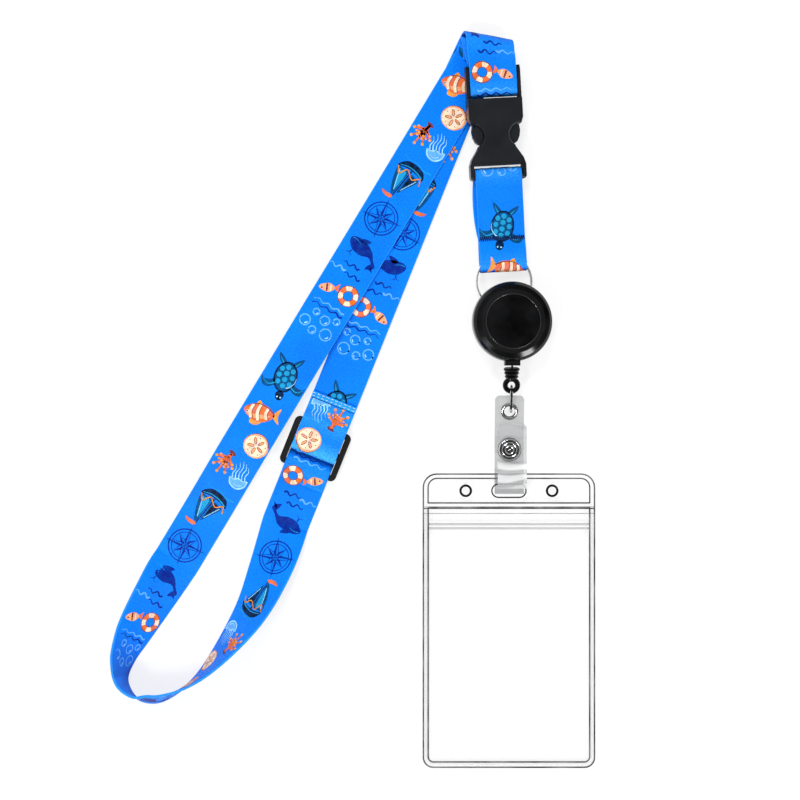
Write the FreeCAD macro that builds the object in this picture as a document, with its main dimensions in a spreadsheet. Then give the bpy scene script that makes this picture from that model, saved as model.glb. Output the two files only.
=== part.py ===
"""A neck lanyard with a side-release buckle, a badge reel and a clear badge holder, laid flat.

X runs to the right, Y towards the top of the loop, Z up from the surface it lies on.
All lengths are millimetres and all angles degrees.
"""
import FreeCAD, Part
import math
import os
import re
import Sketcher

doc = FreeCAD.newDocument("Lanyard")
Vector = FreeCAD.Vector
Rotation = FreeCAD.Rotation
Placement = FreeCAD.Placement

SIZES = {
    # webbing
    "webbing_width": 19.0,
    "webbing_gauge": 0.9,
    "layer_pitch": 1.05,
    "wrap_gap": 0.05,
    # straight runs of the neck strap
    "left_run_angle": 58.96,
    "left_run_length": 241.8,
    "left_top_x": 51.9,
    "left_top_y": 141.5,
    "left_arch": 4.4,
    "arch_start": 88.0,
    "arch_rise_run": 45.0,
    "arch_end": 188.0,
    "arch_fall_run": 34.0,
    "right_bend_x": 37.4,
    "right_bend_y": 113.7,
    "right_run_angle": 68.1,
    "right_top_run": 31.5,
    "fold_axis_angle": -10.7,
    "roll_lead": 1.0,
    "left_fold_angle": -13.8,
    "left_tail": 6.0,
    "left_tail_drop": 0.8,
    "left_tail_slope": 0.2,
    # adjuster slider
    "slider_distance": 143.9,
    "slider_length": 20.3,
    "rail_width": 2.35,
    "rail_floor": 0.4,
    "rail_height": 3.4,
    "end_bar_width": 2.4,
    "end_bar_height": 1.6,
    "centre_bar_width": 3.0,
    "centre_bar_height": 1.7,
    "slider_side_gap": 0.25,
    "slider_clearance": 0.15,
    "slider_corner": 2.2,
    "slider_round": 0.6,
    "wave_run": 5.9,
    "bar_ease": 0.25,
    "flap_length": 21.5,
    "lower_run": 33.0,
    # line of buckle, tab and ring
    "train_x": 60.1,
    "train_y": 47.8,
    "train_z": 3.3,
    "train_yaw": 3.4,
    "train_pitch": 3.0,
    "train_roll": 5.5,
    # buckle
    "male_bar_y": 76.4,
    "male_bar_radius": 1.25,
    "frame_half_width": 11.1,
    "frame_rail_width": 1.35,
    "frame_top_y": 86.7,
    "frame_end_bar": 1.8,
    "frame_depth": 4.4,
    "frame_end_slope": 1.6,
    "frame_end_depth": 2.4,
    "frame_round": 0.35,
    "end_bar_gauge": 1.4,
    "base_depth": 3.8,
    "mouth_gap_y": 0.1,
    "tongue_root": 2.6,
    "tongue_tip": 1.6,
    "tongue_gap": 4.5,
    "mouth_y": 73.5,
    "mouth_half_width": 11.05,
    "mouth_depth": 8.4,
    "shoulder_y": 63.2,
    "shoulder_half_width": 10.2,
    "waist_y": 54.6,
    "waist_half_width": 7.15,
    "flare_y": 48.2,
    "arm_half_width": 11.4,
    "arm_end_y": 41.0,
    "arm_depth": 6.2,
    "arm_width": 1.45,
    "slot_top_y": 47.0,
    "tab_bar_y": 43.9,
    "tab_bar_radius": 1.25,
    "cavity_half_width": 8.9,
    "cavity_depth": 5.2,
    "cavity_end_y": 53.2,
    "shell_corner": 1.4,
    "shell_round": 0.9,
    "window_radius": 4.66,
    "window_inner_x": 5.1,
    "window_y": 58.6,
    "window_flare": 0.7,
    "lip_rise": 0.55,
    "lip_width": 0.8,
    "base_bottom_y": 71.0,
    "prong_depth": 3.8,
    "prong_pivot_x": 7.5,
    "prong_root_radius": 0.95,
    "prong_clearance": 0.08,
    "prong_side_gap": 0.35,
    "prong_catch": 0.6,
    "prong_bulge": 0.95,
    "prong_inner_x": 5.3,
    "prong_round": 0.6,
    # tab and ring
    "ring_radius": 11.2,
    "ring_wire": 0.83,
    "tab_stitch_y": 17.5,
    # badge reel
    "reel_shift": 2.14,
    "ring_in_clip": 5.25,
    "reel_roll": 3.0,
    "reel_radius": 16.05,
    "reel_height": 8.4,
    "reel_split": 3.6,
    "reel_wall": 1.2,
    "reel_floor": 1.0,
    "disc_radius": 10.8,
    "disc_gauge": 0.8,
    "axle_radius": 1.6,
    "rivet_radius": 1.0,
    "spool_radius": 12.5,
    "spool_gap": 0.1,
    "spool_lift": 0.3,
    "drum_radius": 7.0,
    "drum_wall": 0.8,
    "flange_gauge": 0.6,
    "cord_width": 2.1,
    "cord_radius": 0.4,
    "winding_radius": 10.8,
    "spring_turns": 6,
    "spring_gauge": 0.2,
    "nozzle_width": 6.2,
    "nozzle_beyond": 1.65,
    "nozzle_height": 4.3,
    # belt clip
    "clip_strip_width": 7.0,
    "clip_strip_gauge": 0.7,
    "clip_strip_height": 4.5,
    "clip_bend_y": 7.0,
    "clip_tongue": 9.0,
    # cord end
    "stop_droop": 14.0,
    "stop_gap": 0.3,
    "stop_length": 4.4,
    "stop_radius": 3.3,
    "stop_ribs": 3,
    "rib_depth": 1.1,
    "rib_taper": 0.25,
    "rib_round": 0.25,
    "eye_reach": 7.0,
    "eye_radius": 2.48,
    "eye_wire": 1.06,
    # wire link
    "link_radius": 2.2,
    "link_length": 6.4,
    "link_wire": 0.55,
    # vinyl strap clip
    "vinyl_shift": -0.6,
    "vinyl_floor": 0.05,
    "snap_flat": 4.5,
    "vinyl_width": 11.8,
    "vinyl_gauge": 0.6,
    "vinyl_fold_radius": 2.2,
    "vinyl_snap_y": 18.0,
    "vinyl_snap_rise": 0.45,
    "vinyl_eyelet_y": 33.54,
    "vinyl_slope": 13.0,
    "vinyl_top_y": 39.96,
    "vinyl_corner": 1.9,
    "flap_offset_x": 1.1,
    "flap_end_y": 28.45,
    "flap_fold_end": 9.5,
    "flap_snap_z": 2.65,
    "eyelet_hole": 2.2,
    "eyelet_flange": 3.4,
    "eyelet_gauge": 0.25,
    "snap_cap_radius": 4.7,
    "snap_cap_height": 0.9,
    "snap_knob_radius": 1.8,
    "snap_clearance": 0.15,
    "cap_post_radius": 1.2,
    "socket_radius": 4.0,
    "stud_flange_radius": 3.6,
    "stud_post_radius": 1.5,
    "stud_collar_radius": 3.0,
    # badge holder
    "holder_shift": -0.2,
    "holder_hook": 8.46,
    "holder_lift": 1.65,
    "holder_width": 70.0,
    "holder_length": 119.4,
    "holder_sheet": 0.45,
    "holder_pocket": 0.4,
    "holder_weld": 2.0,
    "holder_top_corner": 5.7,
    "holder_bottom_corner": 4.3,
    "header_height": 12.4,
    "mouth_gap": 1.6,
    "slot_width": 13.4,
    "slot_height": 4.9,
    "slot_drop": 7.1,
    "hole_spacing": 35.0,
    "hole_radius": 2.45,
    "zip_drop": 20.6,
    "zip_width": 1.2,
}

sheet = doc.addObject("Spreadsheet::Sheet", "Sizes")
for row, (alias, value) in enumerate(SIZES.items(), 1):
    sheet.set(f"A{row}", alias)
    sheet.set(f"B{row}", str(value))
    sheet.setAlias(f"B{row}", alias)
doc.recompute()


class Read:
    """Numbers of the sheet, for shapes that Part's own functions make."""

    def __getattr__(self, alias):
        return float(getattr(sheet, alias))


size = Read()
nodes = []


def bound(text):
    """An expression on the sheet, from one written with the bare names of its cells."""
    return re.sub(r"[a-z][a-z_]+", lambda m: f"Sizes.{m[0]}" if m[0] in SIZES else m[0], text)


def bind(thing, **expressions):
    for name, text in expressions.items():
        thing.setExpression(name, bound(str(text)))
    return thing


def at(thing, x="0", y="0", z="0", axis=None, angle=0.0):
    """Put a primitive at expressions of the sheet, turned about an axis."""
    if axis:
        thing.Placement = Placement(Vector(), Rotation(axis, angle))
    for name, text in zip("xyz", (x, y, z)):
        thing.setExpression(f"Placement.Base.{name}", bound(str(text)))
    return thing


X_AXIS, Y_AXIS, Z_AXIS = Vector(1, 0, 0), Vector(0, 1, 0), Vector(0, 0, 1)


def box(name, x, y, z, length, width, height):
    block = bind(doc.addObject("Part::Box", name), Length=length, Width=width, Height=height)
    return at(block, x, y, z)


def middle_box(name, y, z, half, width, height):
    """A block centred on X = 0."""
    return box(name, f"-({half})", y, z, f"2 * ({half})", width, height)


def cylinder(name, radius, height, x="0", y="0", z="0", axis=None, angle=0.0):
    rod = bind(doc.addObject("Part::Cylinder", name), Radius=radius, Height=height)
    return at(rod, x, y, z, axis, angle)


def cross_rod(name, radius, half, y, z):
    """A round bar along X, centred on X = 0."""
    return cylinder(name, radius, f"2 * ({half})", f"-({half})", y, z, Y_AXIS, 90)


def cut(name, base, tool):
    result = doc.addObject("Part::Cut", name)
    result.Base, result.Tool = base, tool
    return result


def fuse(name, *shapes):
    result = doc.addObject("Part::MultiFuse", name)
    result.Shapes = list(shapes)
    result.Refine = True
    return result


def common(name, *shapes):
    result = doc.addObject("Part::MultiCommon", name)
    result.Shapes = list(shapes)
    return result


def sketch_on(body, role, name):
    sketch = body.newObject("Sketcher::SketchObject", name)
    plane = next(f for f in body.Origin.OriginFeatures if f.Role == role)
    sketch.AttachmentSupport = [(plane, "")]
    sketch.MapMode = "FlatFace"
    return sketch


def pin_point(sketch, piece, point, x, y):
    for kind, text in (("DistanceX", x), ("DistanceY", y)):
        number = sketch.addConstraint(Sketcher.Constraint(kind, -1, 1, piece, point, 1.0))
        sketch.setExpression(f"Constraints[{number}]", bound(str(text)))


def polygon(sketch, corners):
    """A closed outline whose corners sit at pairs of expressions."""
    count, first = len(corners), sketch.GeometryCount
    ring = [Vector(math.cos(2 * math.pi * i / count), math.sin(2 * math.pi * i / count), 0)
            for i in range(count)]
    for i in range(count):
        sketch.addGeometry(Part.LineSegment(ring[i] * 10, ring[(i + 1) % count] * 10), False)
    for i in range(count):
        sketch.addConstraint(Sketcher.Constraint("Coincident", first + i, 2, first + (i + 1) % count, 1))
    for i, (x, y) in enumerate(corners):
        pin_point(sketch, first + i, 1, x, y)


def mirrored_corners(half):
    """The corners of an outline that is the same on both sides of Y."""
    return half + [(f"-({x})", y) for x, y in reversed(half)]


def pad(body, sketch, name, length, both_ways=False):
    feature = body.newObject("PartDesign::Pad", name)
    feature.Profile = sketch
    bind(feature, Length=length)
    feature.Midplane = both_ways
    return feature


def pocket(body, sketch, name):
    feature = body.newObject("PartDesign::Pocket", name)
    feature.Profile = sketch
    feature.Type = "ThroughAll"
    feature.Midplane = True
    return feature


def revolve(name, corners, turn=360):
    """A body turned about Z from an outline on the XZ plane."""
    body = doc.addObject("PartDesign::Body", name)
    outline = sketch_on(body, "XZ_Plane", name + "Outline")
    polygon(outline, corners)
    turned = body.newObject("PartDesign::Revolution", name + "Turn")
    turned.Profile = outline
    turned.ReferenceAxis = (outline, ["V_Axis"])
    turned.Angle = turn
    return body


def round_wire(middle, radius, sides=8):
    """Corners of a wire's section, whose middle stands off the axis it is turned about."""
    return [(f"{middle} + {radius} * cos({360 * i / sides})", f"{radius} * sin({360 * i / sides})")
            for i in range(sides)]


def plate(name, corners, thickness, both_ways=False):
    """A body padded from an outline on the XY plane."""
    body = doc.addObject("PartDesign::Body", name)
    outline = sketch_on(body, "XY_Plane", name + "Outline")
    polygon(outline, corners)
    pad(body, outline, name + "Pad", thickness, both_ways)
    return body


def side_plate(name, corners, width):
    """A body padded across X from an outline on the YZ plane."""
    body = doc.addObject("PartDesign::Body", name)
    outline = sketch_on(body, "YZ_Plane", name + "Outline")
    polygon(outline, corners)
    pad(body, outline, name + "Pad", width, True)
    return body


def round_edges(body, name, radius, chosen):
    """Fillet the edges of a body that the test chooses."""
    doc.recompute()
    tip = body.Tip
    names = [f"Edge{i}" for i, edge in enumerate(tip.Shape.Edges, 1) if chosen(edge)]
    feature = body.newObject("PartDesign::Fillet", name)
    feature.Base = (tip, names)
    bind(feature, Radius=radius)
    return feature


def upright(edge):
    low, high = edge.BoundBox, 1e-4
    return low.XLength < high and low.YLength < high


def node(label, shape, frame=None):
    """Name a finished sub-part and put it in its frame."""
    shape.Label = label
    if frame:
        shape.Placement = frame
    nodes.append(shape)
    return shape


def soft(label, shape, frame=None):
    """A sub-part of webbing, cord or strip, whose shape Part's own functions make."""
    feature = doc.addObject("Part::Feature", "Soft")
    feature.Shape = shape
    feature.Label = label
    if frame:
        feature.Placement = frame
    nodes.append(feature)
    return feature


# ---- frames -------------------------------------------------------------------------------

train = Placement(
    Vector(size.train_x, size.train_y, size.train_z),
    Rotation(Z_AXIS, size.train_yaw)
    * Rotation(X_AXIS, size.train_pitch)
    * Rotation(Y_AXIS, size.train_roll),
)

# The reel's clip hangs on the lowest point of the ring.
ring_low = train.multVec(Vector(0, -size.ring_radius, 0))
reel_place = ring_low + Vector(size.reel_shift, -size.ring_in_clip, size.clip_strip_height / 2)
reel = Placement(reel_place, Rotation(Y_AXIS, size.reel_roll))
cord_height = size.reel_floor + 2 * size.flange_gauge + size.spool_lift + size.cord_width / 2

# The stop's round face leans, so its upper edge needs room in front of the nozzle.
stop_room = size.stop_gap + size.stop_radius * math.sin(math.radians(size.stop_droop))
stop = Placement(reel_place + Vector(0, -(size.reel_radius + size.nozzle_beyond) - stop_room, cord_height),
                 Rotation(X_AXIS, size.stop_droop))
link_joint = stop.multVec(Vector(0, -size.eye_reach - size.eye_radius, 0))

# The link slopes from the stop's eye down to the eyelet, and the vinyl clip follows it.
strap_tilt = math.radians(size.vinyl_slope)
bend_y = size.vinyl_snap_y + size.snap_flat
eyelet_height = (size.vinyl_floor + size.vinyl_snap_rise + size.vinyl_gauge / 2
                 + (size.vinyl_eyelet_y - bend_y) * math.tan(strap_tilt))
link_span = size.link_length + size.link_radius
link_slope = math.asin((link_joint.z - eyelet_height) / link_span)
link = Placement(link_joint, Rotation(X_AXIS, math.degrees(link_slope)))
fold_y = link_joint.y - link_span * math.cos(link_slope) - size.vinyl_eyelet_y
vinyl = Placement(Vector(reel_place.x + size.vinyl_shift, fold_y, size.vinyl_floor), Rotation())
holder = Placement(vinyl.Base + Vector(size.holder_shift, size.holder_hook, size.holder_lift), Rotation())

right_way = Vector(
    math.cos(math.radians(size.right_run_angle)), math.sin(math.radians(size.right_run_angle)), 0
)
left_way = Vector(
    math.cos(math.radians(size.left_run_angle)), math.sin(math.radians(size.left_run_angle)), 0
)
right_bend = Vector(size.right_bend_x, size.right_bend_y, 0)
slider_middle = right_bend - right_way * size.slider_distance
slider = Placement(slider_middle, Rotation(Z_AXIS, size.right_run_angle - 90))

# ---- webbing ------------------------------------------------------------------------------

half_gauge = size.webbing_gauge / 2
back_level = half_gauge
front_level = back_level + size.layer_pitch
left_level = front_level + size.layer_pitch


class Station:
    """A place along webbing: its middle, the way across it and the way out of its face."""

    def __init__(self, middle, across, out, half=None):
        self.middle, self.across, self.out = middle, across.normalize(), out.normalize()
        self.half = half or size.webbing_width / 2

    def corners(self):
        side = self.across * self.half
        rise = self.out * half_gauge
        return [self.middle + side + rise, self.middle - side + rise,
                self.middle - side - rise, self.middle + side - rise]

    def towards(self, other, share):
        mix = [a * (1 - share) + b * share for a, b in (
            (self.middle, other.middle), (self.across, other.across), (self.out, other.out))]
        return Station(*mix, self.half * (1 - share) + other.half * share)


def moved(station, frame):
    turn = frame.Rotation
    return Station(frame.multVec(station.middle), turn.multVec(station.across),
                   turn.multVec(station.out), station.half)


def flat_face(*corners):
    return Part.Face(Part.makePolygon(list(corners) + [corners[0]]))


def webbing(label, stations):
    """A strip through stations, whose twisted spans are each two flat facets a side."""
    rings = [s.corners() for s in stations]
    faces = [flat_face(*rings[0]), flat_face(*rings[-1])]
    for here, ahead in zip(rings, rings[1:]):
        for i in range(4):
            j = (i + 1) % 4
            faces.append(flat_face(here[i], here[j], ahead[j]))
            faces.append(flat_face(here[i], ahead[j], ahead[i]))
    return soft(label, Part.makeSolid(Part.makeShell(faces)))


def lofted(label, stations):
    """A strip whose spans twist too much for flat facets."""
    rings = [Part.makePolygon(s.corners() + s.corners()[:1]) for s in stations]
    return soft(label, Part.makeLoft(rings, True, True))


def flat_station(x, y, z, way):
    return Station(Vector(x, y, z), Vector(way.y, -way.x, 0), Vector(0, 0, 1))


def between(first, last, count):
    return [first.towards(last, i / count) for i in range(count + 1)]


def ease(share):
    share = min(max(share, 0.0), 1.0)
    return share * share * (3 - 2 * share)


def fold_line(angle):
    along = Vector(math.cos(math.radians(angle)), math.sin(math.radians(angle)), 0)
    return along, Vector(-along.y, along.x, 0)


def rolled_over(start, way, angle, radius, steps=9):
    """Stations of flat webbing that rolls over a level cylinder, from below to above.

    Each station lies along the cylinder's axis, so it is longer than the webbing is wide.
    """
    along, onward = fold_line(angle)
    drift = way.dot(along) / way.dot(onward)
    stations = []
    for i in range(steps + 1):
        turn = math.pi * i / steps
        middle = start + along * (radius * turn * drift)
        middle += onward * (radius * math.sin(turn)) + Z_AXIS * (radius * (1 - math.cos(turn)))
        inward = Z_AXIS * math.cos(turn) - onward * math.sin(turn)
        stations.append(Station(middle, along, inward, skewed_half(way, angle)))
    return stations


def skewed_half(way, angle):
    """Half the webbing's width, measured along the axis that it rolls over."""
    return size.webbing_width / 2 / abs(way.dot(fold_line(angle)[1]))


def reflected(way, angle):
    along, onward = fold_line(angle)
    return along * way.dot(along) - onward * way.dot(onward)


# The strap leaves the roll along the buckle's own line.
train_way = train.Rotation.multVec(Vector(0, -1, 0))
drop_way = Vector(train_way.x, train_way.y, 0).normalize()
right_top_way = reflected(drop_way, size.fold_axis_angle)
right_fold = right_bend + right_top_way * size.right_top_run
top_y = (right_fold.y - size.train_y) / math.cos(math.radians(size.train_yaw)) + size.roll_lead
wrap_radius = size.male_bar_radius + size.wrap_gap + half_gauge
outer_top = train.multVec(Vector(0, top_y, wrap_radius)).z
inner_top = train.multVec(Vector(0, top_y, -wrap_radius)).z
outer_radius = (outer_top - back_level) / 2
inner_radius = (inner_top - front_level) / 2
left_radius = (inner_top - size.layer_pitch - size.left_tail_drop - left_level) / 2


def around_bar(bar_y, radius, start, end, steps, y_sign=-1):
    """Stations round a bar that lies along the buckle's X axis, by angle from its top."""
    stations = []
    for i in range(steps + 1):
        turn = math.radians(start + (end - start) * i / steps)
        out = Vector(0, y_sign * math.sin(turn), math.cos(turn))
        middle = Vector(0, bar_y, 0) + out * radius
        stations.append(moved(Station(middle, Vector(1, 0, 0), out), train))
    return stations


def strap_over_top():
    """The right run rolls over, drops to the male bar, goes round it and returns inside."""
    outer_start = Vector(right_fold.x, right_fold.y, back_level)
    outer = rolled_over(outer_start, right_top_way, size.fold_axis_angle, outer_radius)
    around = [flipped(s) for s in around_bar(size.male_bar_y, wrap_radius, 0, 180, 10)]
    over, under = [moved(Station(Vector(0, size.frame_top_y + size.roll_lead, side * wrap_radius), Vector(1, 0, 0),
                                 Vector(0, 0, -side)), train) for side in (1, -1)]
    webbing("strap_top_outer", outer + between(outer[-1], over, 3)[1:] + between(over, around[0], 3)[1:]
            + around[1:])
    inner_start = Vector(right_fold.x, right_fold.y, front_level)
    inner = rolled_over(inner_start, right_top_way, size.fold_axis_angle, inner_radius)
    last = flipped(around[-1])
    under = flipped(under)
    webbing("strap_top_inner", inner + between(inner[-1], under, 3)[1:] + between(under, last, 3)[1:])


def flipped(station):
    """The same station, facing the other way."""
    return Station(station.middle, station.across, station.out * -1, station.half)


def strap_right_runs():
    """Two layers run side by side from the roll to the slider."""
    low = slider_middle + right_way * (size.slider_length / 2 + size.wave_run)
    skew = skewed_half(right_top_way, size.fold_axis_angle)
    for label, level in (("strap_return_run", back_level), ("strap_front_run", front_level)):
        fold = Station(Vector(right_fold.x, right_fold.y, level), fold_line(size.fold_axis_angle)[0],
                       Vector(0, 0, 1), skew)
        bend = flat_station(right_bend.x, right_bend.y, level, right_way)
        webbing(label, [fold, bend, flat_station(low.x, low.y, level, right_way)])


def left_height(distance):
    """Height of the left run's middle, by distance from the roll at its top."""
    up = ease((distance - size.arch_start) / size.arch_rise_run)
    down = ease((distance - size.arch_end) / size.arch_fall_run)
    height = left_level + (size.left_arch - left_level) * up
    return height + (back_level - height) * down


def strap_left_run():
    top = Vector(size.left_top_x, size.left_top_y, 0)
    stations = []
    steps = 24
    for i in range(steps + 1):
        distance = size.left_run_length * i / steps
        slope = (left_height(distance + 0.5) - left_height(distance - 0.5))
        place = top - left_way * distance
        out = Vector(left_way.x * slope, left_way.y * slope, 1)
        stations.append(Station(Vector(place.x, place.y, left_height(distance)),
                                Vector(left_way.y, -left_way.x, 0), out))
    stations[0] = Station(Vector(top.x, top.y, left_level), fold_line(size.left_fold_angle)[0],
                          Vector(0, 0, 1), skewed_half(left_way, size.left_fold_angle))
    stations[-1] = flat_station(stations[-1].middle.x, stations[-1].middle.y, back_level, left_way)
    webbing("strap_left_run", stations)
    rolled = rolled_over(Vector(top.x, top.y, left_level), left_way, size.left_fold_angle, left_radius, 8)
    last = rolled[-1]
    way = reflected(left_way, size.left_fold_angle)
    tail_end = last.middle + way * size.left_tail - Z_AXIS * (size.left_tail_slope * size.left_tail)
    tail = Station(tail_end, last.across * 1, last.out + way * size.left_tail_slope, last.half)
    webbing("strap_left_end", rolled + [tail])


# The loop's bottom bend stands on its inner edge: places of that edge, and the webbing's lean
# from flat (0) past upright (90).
BEND = [
    (-72.2, -81.3, 24), (-84.1, -97.9, 47), (-90.1, -106.3, 66), (-92.8, -113.9, 86),
    (-89.3, -121.0, 101), (-82.8, -123.2, 107), (-75.8, -121.3, 103), (-66.9, -114.4, 90),
    (-59.0, -103.5, 73), (-48.6, -83.7, 47), (-42.6, -65.2, 22),
]


def catmull(points, steps):
    """A smooth line through points, with each end's own neighbour mirrored."""
    points = [points[0] * 2 - points[1]] + points + [points[-1] * 2 - points[-2]]
    line = []
    for a, b, c, d in zip(points, points[1:], points[2:], points[3:]):
        for i in range(steps):
            t = i / steps
            line.append((b * 2 + (c - a) * t + (a * 2 - b * 5 + c * 4 - d) * t**2
                         + (b * 3 - a - c * 3 + d) * t**3) * 0.5)
    return line + [points[-2]]


def strap_bottom_bend():
    inside = size.webbing_width / 2
    left_end = Vector(size.left_top_x, size.left_top_y, 0) - left_way * size.left_run_length
    start = left_end + Vector(left_way.y, -left_way.x, 0) * inside
    right_end = slider_middle - right_way * size.lower_run
    end = right_end - Vector(right_way.y, -right_way.x, 0) * inside
    route = [start - left_way * -6, start] + [Vector(*p) for p in BEND] + [end, end + right_way * 6]
    line = catmull(route, 3)[3:-3]
    stations = []
    for i, point in enumerate(line):
        ahead, behind = line[min(i + 1, len(line) - 1)], line[max(i - 1, 0)]
        way = Vector(ahead.x - behind.x, ahead.y - behind.y, 0).normalize()
        if i == 0:
            way = left_way * -1
        if i == len(line) - 1:
            way = right_way * 1
        outward = Vector(way.y, -way.x, 0)
        lean = math.radians(max(point.z, 0.0))
        side = outward * math.cos(lean) + Z_AXIS * math.sin(lean)
        face = Z_AXIS * math.cos(lean) - outward * math.sin(lean)
        foot = Vector(point.x, point.y, half_gauge * abs(math.cos(lean)))
        stations.append(Station(foot + side * inside, side, face))
    lofted("strap_bottom_bend", stations)


def run_height(along, rise):
    """Height of the running strap's middle beside the slider, by distance up from its middle."""
    inner = size.centre_bar_width / 2 + 0.1
    over = size.slider_length / 2 - size.end_bar_width - size.bar_ease
    outer = size.slider_length / 2 + size.bar_ease
    distance = abs(along)
    if distance < over:
        return back_level + rise * ease((distance - inner) / (over - inner))
    return back_level + rise * (1 - ease((distance - outer) / (size.wave_run - size.bar_ease)))


bar_rise = size.rail_floor + size.end_bar_height + size.slider_clearance


def slider_station(along, height, slope=0.0):
    return moved(Station(Vector(0, along, height), Vector(1, 0, 0), Vector(0, -slope, 1)), slider)


def wave_stations(places, height):
    stations = []
    for along in places:
        slope = height(along + 0.05) - height(along - 0.05)
        stations.append(slider_station(along, height(along), slope / 0.1))
    return stations


def strap_lower_run():
    reach = size.slider_length / 2 + size.wave_run
    places = [-size.lower_run] + [-reach + 2 * reach * i / 36 for i in range(37)]
    webbing("strap_lower_run", wave_stations(places, lambda u: run_height(u, bar_rise)))


def adjuster_flap():
    """The sewn end: down over the upper bar, back round the centre bar and up in front."""
    reach = size.slider_length / 2 + size.wave_run
    under = size.centre_bar_width / 2
    bar_middle = size.rail_floor + size.rail_height - size.centre_bar_height / 2
    turn = size.centre_bar_height / 2 + size.slider_clearance + half_gauge
    low = [reach - (reach - under) * i / 16 for i in range(17)]
    down = wave_stations(low, lambda u: run_height(u, bar_rise) + size.layer_pitch)
    down += [slider_station(-under, bar_middle - turn)]
    wrap = []
    for i in range(1, 9):
        angle = math.pi * i / 9
        out = Vector(0, -math.sin(angle), -math.cos(angle))
        middle = Vector(0, -under, bar_middle) + out * turn
        wrap.append(moved(Station(middle, Vector(1, 0, 0), out * -1), slider))
    high_start, high_bar = bar_middle + turn, back_level + bar_rise + 2 * size.layer_pitch
    over = size.slider_length / 2 - size.end_bar_width - size.bar_ease
    outer = size.slider_length / 2 + size.bar_ease

    def flap_height(along):
        if along < over:
            return high_start + (high_bar - high_start) * ease((along + under) / (over + under))
        fall = ease((along - outer) / (size.wave_run - size.bar_ease))
        return high_bar - bar_rise * fall

    high = [-under + (size.flap_length + under) * i / 16 for i in range(17)]
    front = []
    for along in high:
        slope = (flap_height(along + 0.05) - flap_height(along - 0.05)) / 0.1
        front.append(moved(Station(Vector(0, along, flap_height(along)), Vector(1, 0, 0),
                                   Vector(0, slope, -1)), slider))
    webbing("adjuster_flap", down + wrap + front)


# ---- adjuster slider ----------------------------------------------------------------------

def adjuster_slider():
    half = "(webbing_width / 2 + slider_side_gap + rail_width)"
    inside = "(webbing_width / 2 + slider_side_gap)"
    long = "slider_length / 2"
    body = plate("SliderFrame", mirrored_corners([(half, f"-{long}"), (half, long)]), "rail_height")
    round_edges(body, "SliderCorners", "slider_corner", upright)
    round_edges(body, "SliderTopRound", "slider_round", lambda e: e.BoundBox.ZMin > size.rail_height - 1e-3)
    window = sketch_on(body, "XY_Plane", "SliderWindow")
    polygon(window, mirrored_corners([(inside, f"-({long} - 0.01)"), (inside, f"{long} - 0.01")]))
    pocket(body, window, "SliderOpening")
    bars = []
    for number, sign in enumerate((-1, 1)):
        start = f"-({long})" if sign < 0 else f"{long} - end_bar_width"
        bars.append(middle_box(f"SliderEndBar{number}", start, "0", inside, "end_bar_width", "end_bar_height"))
    core = middle_box("SliderCentreBar", "-centre_bar_width / 2 + centre_bar_height / 2",
                      "rail_height - centre_bar_height", inside,
                      "centre_bar_width - centre_bar_height", "centre_bar_height")
    noses = [cross_rod(f"SliderCentreNose{i}", "centre_bar_height / 2", inside,
                       f"{sign} * (centre_bar_width - centre_bar_height) / 2",
                       "rail_height - centre_bar_height / 2") for i, sign in enumerate((-1, 1))]
    mouths = [middle_box(f"SliderMouth{i}", start, "end_bar_height", inside, "2", "rail_height")
              for i, start in enumerate((f"-({long}) - 1", f"{long} - 1"))]
    frame = cut("SliderOpenFrame", body, fuse("SliderMouths", *mouths))
    whole = fuse("SliderWhole", frame, *bars, core, *noses)
    node("adjuster_slider", whole, slider * Placement(Vector(0, 0, size.rail_floor), Rotation()))


# ---- side-release buckle ------------------------------------------------------------------

def buckle_male_frame():
    """Open frame with the strap's round bar, a base in the mouth and a guide tongue."""
    inside = "(frame_half_width - frame_rail_width)"
    rails = []
    for number, side in enumerate((-1, 1)):
        rail = side_plate(f"MaleRail{number}", [
            ("base_bottom_y", "frame_depth / 2"), ("frame_top_y - frame_end_slope", "frame_depth / 2"),
            ("frame_top_y", "frame_end_depth / 2"), ("frame_top_y", "-frame_end_depth / 2"),
            ("frame_top_y - frame_end_slope", "-frame_depth / 2"), ("base_bottom_y", "-frame_depth / 2"),
        ], "frame_rail_width")
        round_edges(rail, f"MaleRailRound{number}", "frame_round", along_rail)
        rails.append(at(rail, f"{side} * (frame_half_width - frame_rail_width / 2)"))
    end = middle_box("MaleEndBar", "frame_top_y - frame_end_bar", "-end_bar_gauge / 2",
                     "frame_half_width - frame_round", "frame_end_bar", "end_bar_gauge")
    bar = cross_rod("MaleBar", "male_bar_radius", inside, "male_bar_y", "0")
    base = middle_box("MaleBase", "base_bottom_y", "-base_depth / 2", inside,
                      "mouth_y - mouth_gap_y - base_bottom_y", "base_depth")
    tongue = plate("MaleTongue", mirrored_corners([("tongue_root", "base_bottom_y"),
                                                   ("tongue_tip", "cavity_end_y + tongue_gap")]),
                   "prong_depth", True)
    seats = [cylinder(f"MaleSeat{i}", "prong_root_radius + prong_clearance", "6",
                      f"{side} * prong_pivot_x", "base_bottom_y", "-3") for i, side in enumerate((-1, 1))]
    whole = fuse("MaleSolid", *rails, end, bar, base, tongue)
    node("buckle_male_frame", cut("MaleWhole", whole, fuse("MaleSeats", *seats)), train)


def along_rail(edge):
    """The long edges of a rail, upper and lower, with their sloping ends."""
    return edge.BoundBox.XLength < 1e-3 and edge.BoundBox.YLength > 1e-3


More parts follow.
